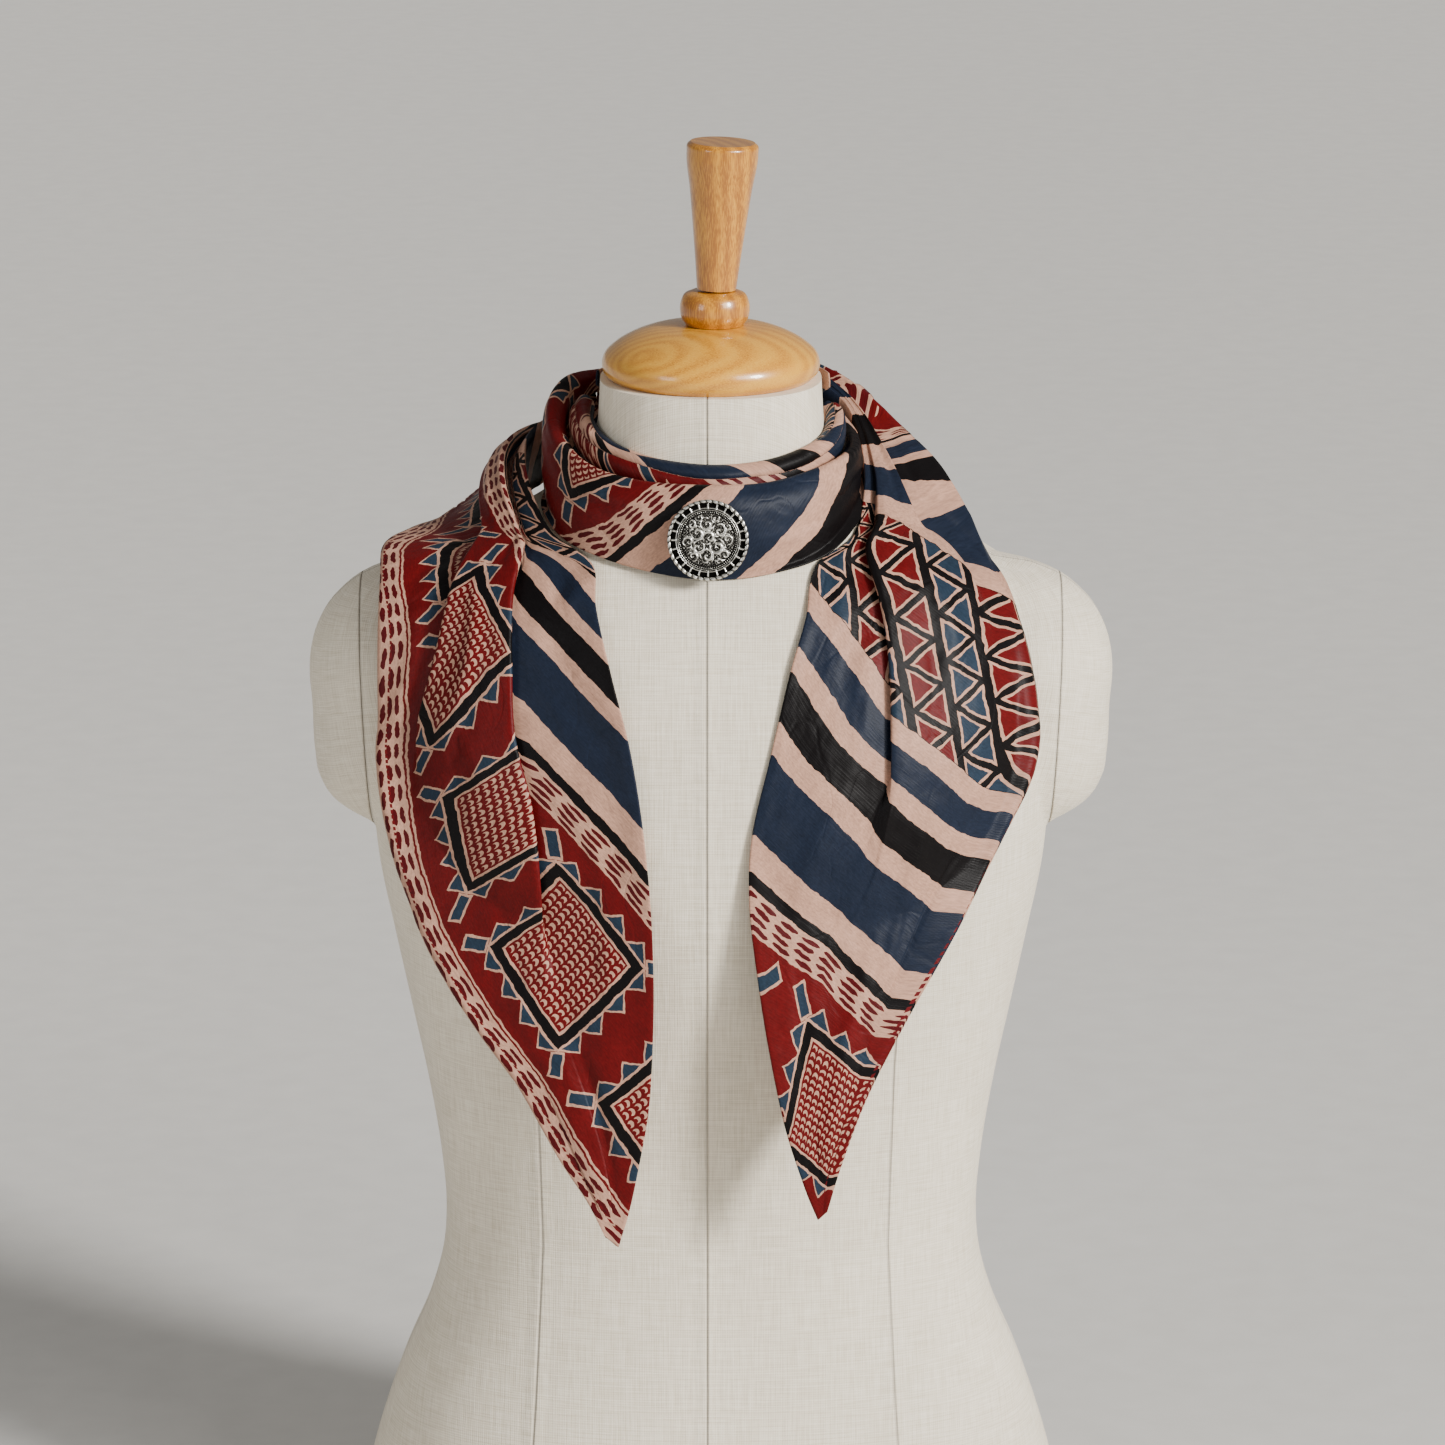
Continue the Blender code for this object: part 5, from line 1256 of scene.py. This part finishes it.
def inner_print(grid):
    """Lay the print over the inner roll: each fold shows another stretch of the cloth."""
    fold, share = inner_folds(grid)
    columns = read_columns(INNER_PRINT, band_angles(COLLAR_INNER, len(grid)))
    outer, middle, neck, along = [column[:, None] for column in columns]
    across = np.select([fold == 0, fold == 1], [outer, middle], neck) + INNER_SLANT * share
    return np.stack([along + INNER_SLANT * share + INNER_STEP * fold, across], axis=-1)


def make_front(finish):
    """Make the collar's outer band with its creases and its print."""
    grid = collar_grid(COLLAR_FRONT, band_section, *FRONT_SIZE)
    angles = band_angles(COLLAR_FRONT, len(grid))
    grid = press_creases(grid, 1.0, angles, np.linspace(0.0, 1.0, grid.shape[1]), CREASES_FRONT, ())
    return add_cloth("collar_front", grid, 1.0, finish, front_print(grid))


def make_inner(finish):
    """Make the inner roll as three soft folds."""
    grid = collar_grid(COLLAR_INNER, arch_section, *INNER_SIZE)
    fold, share = inner_folds(grid)
    swell = INNER_SWELL * MM * np.sin(math.pi * np.clip(share, 0.0, 1.0)) ** 0.7
    ends = np.sin(math.pi * np.linspace(0.0, 1.0, len(grid)))[:, None] ** 0.3
    placed = inner_print(grid)
    grid = grid + grid_normals(grid, 1.0) * (swell * ends)[..., None]
    return add_cloth("collar_inner", grid, 1.0, finish, placed)


def make_back(finish):
    """Make the wrap behind the neck; its stripes run slanting up it."""
    grid = collar_grid(COLLAR_BACK, wrap_section, *BACK_SIZE)
    up = lengths_across(grid)
    around = np.linspace(0.0, 160.0, len(grid))[:, None]
    placed = np.stack([0.7 * around + 1.0 * up, 150.0 + 0.5 * around - 0.9 * up], axis=-1)
    return add_cloth("collar_back", grid, 1.0, finish, placed)


def make_scarf():
    """Make the five stretches of the scarf."""
    finish = printed_twill()
    left = make_tail("left", TAIL_LEFT, PLEATS_LEFT, DEEP_EDGE_LEFT, 1.0, CREASES_LEFT, finish)
    right = make_tail("right", TAIL_RIGHT, PLEATS_RIGHT, DEEP_EDGE_RIGHT, -1.0, CREASES_RIGHT, finish)
    front = make_front(finish)
    inner = make_inner(finish)
    back = make_back(finish)


def panel_distance(points):
    """Give each point's signed distance from the seam of its side's panel, in millimetres."""
    curve = np.interp(points[:, 2] / MM, *PANEL_SEAM.T)
    return np.abs(points[:, 0] / MM - PANEL_MIDDLE) - curve


def linen_grid():
    """Work out the form's surface: rings of points from its base up, each from +X round."""
    turn = np.linspace(0.0, 2.0 * math.pi, TORSO_SIDES, endpoint=False)
    angles = turn - SIDE_CROWDING * np.sin(2.0 * turn) / 2.0
    heights = np.linspace(0.0, FORM_SECTIONS[-1, 0], TORSO_RINGS)
    radius = np.stack([form_radius(angles, np.full_like(angles, height)) for height in heights])
    return round_points(radius, angles, np.repeat(heights[:, None], TORSO_SIDES, axis=1))


def linen_lengths(grid):
    """Give each point's length round the form, both ways from its front, and its length up it."""
    front = 3 * TORSO_SIDES // 4
    turned = np.roll(grid, -front, axis=1)
    around = lengths_across(np.concatenate([turned, turned[:, :1]], axis=1))
    around = np.minimum(around, around[:, -1:] - around)[:, :-1]
    upward = lengths_across(grid.transpose(1, 0, 2)).T
    return np.stack([np.roll(around, front, axis=1), upward, np.zeros_like(upward)], axis=-1)


def make_form(finish):
    """Make the padded linen torso and its two arm caps, cut apart along the armhole seams."""
    grid = linen_grid()
    points = grid.reshape(-1, 3)
    faces = grid_faces(TORSO_RINGS, TORSO_SIDES, closed=True)
    faces.append(tuple(reversed(range(TORSO_SIDES))))
    faces.append(tuple(range(len(points) - TORSO_SIDES, len(points))))
    layers = [("weave", linen_lengths(grid).reshape(-1, 3)), ("spot", points / MM),
              ("panel", panel_distance(points))]

    def linen_piece(word):
        """Make one piece from the whole surface."""
        return add_piece("linen_" + word, points, faces, finish, "form_" + word, layers, 40.0)

    torso = linen_piece("torso")
    lean = ARM_CAP_SEAM_LEAN
    for side, word in ((-1.0, "left"), (1.0, "right")):
        cap = linen_piece("arm_cap_" + word)
        cut_flat(cap, Vector((0.0, 0.0, ARM_CAP_FLOOR)), Vector((0.0, 0.0, 1.0)), True, -1.0)
        normal = Vector((side * math.cos(lean), 0.0, -math.sin(lean)))
        top = Vector((side * ARM_CAP_SEAM_TOP, 0.0, ARM_CAP_SECTIONS[-1, 0]))
        for thing, keep_outer, gap in ((cap, True, ARMHOLE_GAP), (torso, False, 0.0)):
            cut_flat(thing, top + normal * gap, normal, keep_outer, ARM_CAP_FLOOR - MM)


def cut_flat(thing, point, normal, keep_outer, least_height):
    """Cut a closed piece along a plane, above a height, drop one side and close the cut."""
    shape = bmesh.new()
    shape.from_mesh(thing.data)
    corners = [corner for corner in shape.verts if corner.co.z > least_height]
    above = set(corners)
    parts = corners + [part for part in shape.edges[:] + shape.faces[:] if above.issuperset(part.verts)]
    cut = bmesh.ops.bisect_plane(shape, geom=parts, dist=1e-6, plane_co=point, plane_no=normal,
                                 clear_inner=keep_outer, clear_outer=not keep_outer)
    edges = [part for part in cut["geom_cut"] if isinstance(part, bmesh.types.BMEdge)]
    bmesh.ops.edgeloop_fill(shape, edges=edges)
    shape.to_mesh(thing.data)
    shape.free()


def make_turned(name, node, profile, finish, centre=0.0, lean=0.0):
    """Turn a smoothed profile about an upright axis, closed at both ends."""
    sides = TURNED_SIDES
    curve = chord_curve(np.array(profile), TURNED_RINGS)
    pivot = profile[-1][1]
    angles = np.linspace(0.0, 2.0 * math.pi, sides, endpoint=False)
    points = round_points(curve[:, :1], angles, np.repeat(curve[:, 1:] - pivot, sides, axis=1))
    turn = np.array(Matrix.Rotation(lean, 3, "Y"))
    points = points.reshape(-1, 3) * MM @ turn.T + np.array([centre, 0.0, pivot]) * MM
    faces = grid_faces(TURNED_RINGS, sides, closed=True, flip=True)
    faces.append(tuple(range(sides)))
    faces.append(tuple(reversed(range(len(points) - sides, len(points)))))
    return add_piece(name, points, faces, finish, node, (), 35.0)


def make_wood():
    """Make the turned dome, bead and handle on the neck."""
    flat_sawn = varnished_wood("varnished dome", 420.0, 1000.0, 1400.0, (8.0, 26.0, -905.0), 0.0)
    upright = varnished_wood("varnished handle", 900.0, 600.0, 60.0, (8.0, 14.0, -30.0), 0.2)
    make_turned("turned_neck_cap", "form_neck_cap", NECK_CAP_PROFILE, flat_sawn)
    make_turned("turned_bead", "finial_bead", BEAD_PROFILE, upright, BEAD_PLACE)
    make_turned("turned_handle", "finial_handle", HANDLE_PROFILE, upright, HANDLE_PLACE, FINIAL_LEAN)


def brooch_surface(name, node, radii, floor, level, finish):
    """Make a round piece of the brooch: its top follows a height by radius and angle."""
    sides = BROOCH_SIDES
    angles = np.linspace(0.0, 2.0 * math.pi, sides, endpoint=False)
    grid_r, grid_a = np.meshgrid(radii, angles, indexing="ij")
    top, wear_and_shade = level(grid_r, grid_a)
    rings = [round_points(grid_r, grid_a, top)]
    rings.append(rings[0][-1:] * (1.0, 1.0, 0.0) + (0.0, 0.0, floor))
    open_middle = radii[0] > MM
    if open_middle:
        rings.insert(0, rings[0][:1] * (1.0, 1.0, 0.0) + (0.0, 0.0, floor))
    points = np.concatenate(rings)
    rows = len(points)
    edge = np.zeros((1, sides))
    wear_and_shade = np.concatenate([edge, wear_and_shade, edge] if open_middle else [wear_and_shade, edge])
    faces = grid_faces(rows, sides, closed=True, flip=True)
    if open_middle:
        faces += [(column, (rows - 1) * sides + column, (rows - 1) * sides + (column + 1) % sides,
                   (column + 1) % sides) for column in range(sides)]
    else:
        faces.append(tuple(reversed(range(sides))))
        faces.append(tuple(range((rows - 1) * sides, rows * sides)))
    add_piece(name, place_on_collar(points), faces, finish, node, [("wear_and_shade", wear_and_shade.ravel())])


def scroll_relief(radius, angle):
    """Rise in small leafy scrolls that fill a low dome, inside a ring of fine beads."""
    share = radius / MEDALLION_RADIUS
    dome = MEDALLION_LEVELS[0] + (MEDALLION_LEVELS[1] - MEDALLION_LEVELS[0]) * (1.0 - share ** 4)
    across = radius * np.cos(angle) / MM
    upward = radius * np.sin(angle) / MM
    pattern = np.zeros_like(radius)
    for middle_x, middle_y, size, hand, start in SCROLLS:
        away = np.hypot(across - middle_x, upward - middle_y) / size
        turn = np.arctan2(upward - middle_y, across - middle_x) * hand + start
        stem = (0.5 + 0.5 * np.cos(turn - 9.2 * np.sqrt(away))) ** 1.4
        leaf = 0.8 * np.abs(np.cos(2.5 * turn + 4.0 * away)) ** 1.5 * np.exp(-((away - 0.95) / 0.24) ** 2)
        reach = np.clip(4.0 * (1.25 - away), 0.0, 1.0)
        pattern = np.maximum(pattern, reach * np.maximum(stem * (away < 0.95), leaf))
    blades = np.cos(2.3 * across + 2.0 * np.sin(1.3 * upward))
    blades = blades * np.cos(2.1 * upward + 2.0 * np.sin(1.5 * across))
    pattern = np.maximum(pattern, 0.42 * np.clip(2.6 * np.abs(blades) - 0.45, 0.0, 1.0) * (pattern < 0.12))
    beads = np.exp(-((share - 0.925) / 0.028) ** 2) * (0.5 + 0.5 * np.cos(BEAD_COUNT * angle))
    line = np.exp(-((share - 0.985) / 0.014) ** 2)
    gap = soft_step(share, 0.87, 0.03)
    raised = pattern * (1.0 - gap) + np.maximum(beads, line) * gap
    return dome + MEDALLION_RELIEF * raised, np.clip(raised, 0.0, 1.0)


def gallery_relief(radius, angle):
    """Ring of windows between narrow bright bars, inside a raised line; the windows are a low bed painted
    black as painted shade for their openings.
    """
    bars = soft_step(np.cos(GALLERY_BARS * angle), 0.80, 0.35)
    inner = np.exp(-((radius - GALLERY_RADII[0] - 0.0004) / 0.00035) ** 2)
    raised = np.clip(np.maximum(bars, inner), 0.0, 1.0)
    # The windows get the lowest value, which the finish turns black: painted shade standing for their
    # openings
    return GALLERY_FLOOR + GALLERY_BED + GALLERY_RELIEF * raised, 0.9 * raised


def make_rim(finish):
    """Make the twisted rope rim."""
    steps = BROOCH_SIDES
    sides = ROPE_SIDES
    angles, turns = np.meshgrid(np.linspace(0.0, 2.0 * math.pi, steps, endpoint=False),
                                np.linspace(0.0, 2.0 * math.pi, sides, endpoint=False), indexing="ij")
    lumps = np.abs(np.cos(RIM_LUMPS * angles + 0.4 * turns))
    size = RIM_SIZE * (0.56 + 0.34 * lumps ** 0.6)
    level = PLATE_TOP + RIM_LIFT + RIM_SIZE
    radius = RIM_RADIUS + size * np.cos(turns)
    points = round_points(radius, angles, level + size * np.sin(turns))
    faces = [(step * sides + side, ((step + 1) % steps) * sides + side,
              ((step + 1) % steps) * sides + (side + 1) % sides, step * sides + (side + 1) % sides)
             for step in range(steps) for side in range(sides)]
    layers = [("wear_and_shade", 0.15 + 0.65 * lumps.ravel())]
    add_piece("rope_rim", place_on_collar(points), faces, finish, "brooch_rim", layers)


def make_brooch():
    """Make the brooch's visible pieces, and give its back plate and pin their finish."""
    finish = oxidised_silver()
    make_rim(finish)
    radii = np.linspace(*GALLERY_RADII, GALLERY_RINGS)
    brooch_surface("window_ring", "brooch_gallery", radii, GALLERY_FLOOR, gallery_relief, finish)
    radii = np.linspace(0.0001, MEDALLION_RADIUS - 0.0001, MEDALLION_RINGS)
    brooch_surface("scroll_centre", "brooch_medallion", radii, MEDALLION_LEVELS[0], scroll_relief, finish)
    for name in ("brooch_plate", "brooch_pin"):
        for material_slot in bpy.data.objects[name].material_slots:
            material_slot.material = finish


def add_light(name, kind, place, size, power, colour):
    """Add a soft light that faces the form."""
    data = bpy.data.lights.new(name, kind)
    data.energy = power
    if kind == "SUN":
        data.angle = size
    else:
        data.size = size
    data.color = colour
    light = bpy.data.objects.new(name, data)
    light.location = place
    light.rotation_euler = (Vector(place) - VIEW_TARGET).to_track_quat("Z", "Y").to_euler()
    bpy.context.scene.collection.objects.link(light)


def make_studio():
    """Make the floor and the plain soft light."""
    mesh = bpy.data.meshes.new("studio_floor")
    corners = [(-FLOOR_REACH, -FLOOR_REACH), (FLOOR_REACH, -FLOOR_REACH),
               (FLOOR_REACH, FLOOR_REACH), (-FLOOR_REACH, FLOOR_REACH)]
    mesh.from_pydata([(across, along, 0.0) for across, along in corners], [], [(0, 1, 2, 3)])
    mesh.materials.append(studio_floor())
    floor = bpy.data.objects.new("studio_floor", mesh)
    bpy.context.scene.collection.objects.link(floor)
    for light in LIGHTS:
        add_light(*light)
    world = bpy.data.worlds.new("studio")
    world.use_nodes = True
    background = world.node_tree.nodes["Background"]
    set_inputs(world.node_tree, background, {"Color": linear("#f2f0ec"), "Strength": 0.30})
    bpy.context.scene.world = world


set_camera()
make_form(form_linen())
make_wood()
make_scarf()
make_brooch()
make_studio()
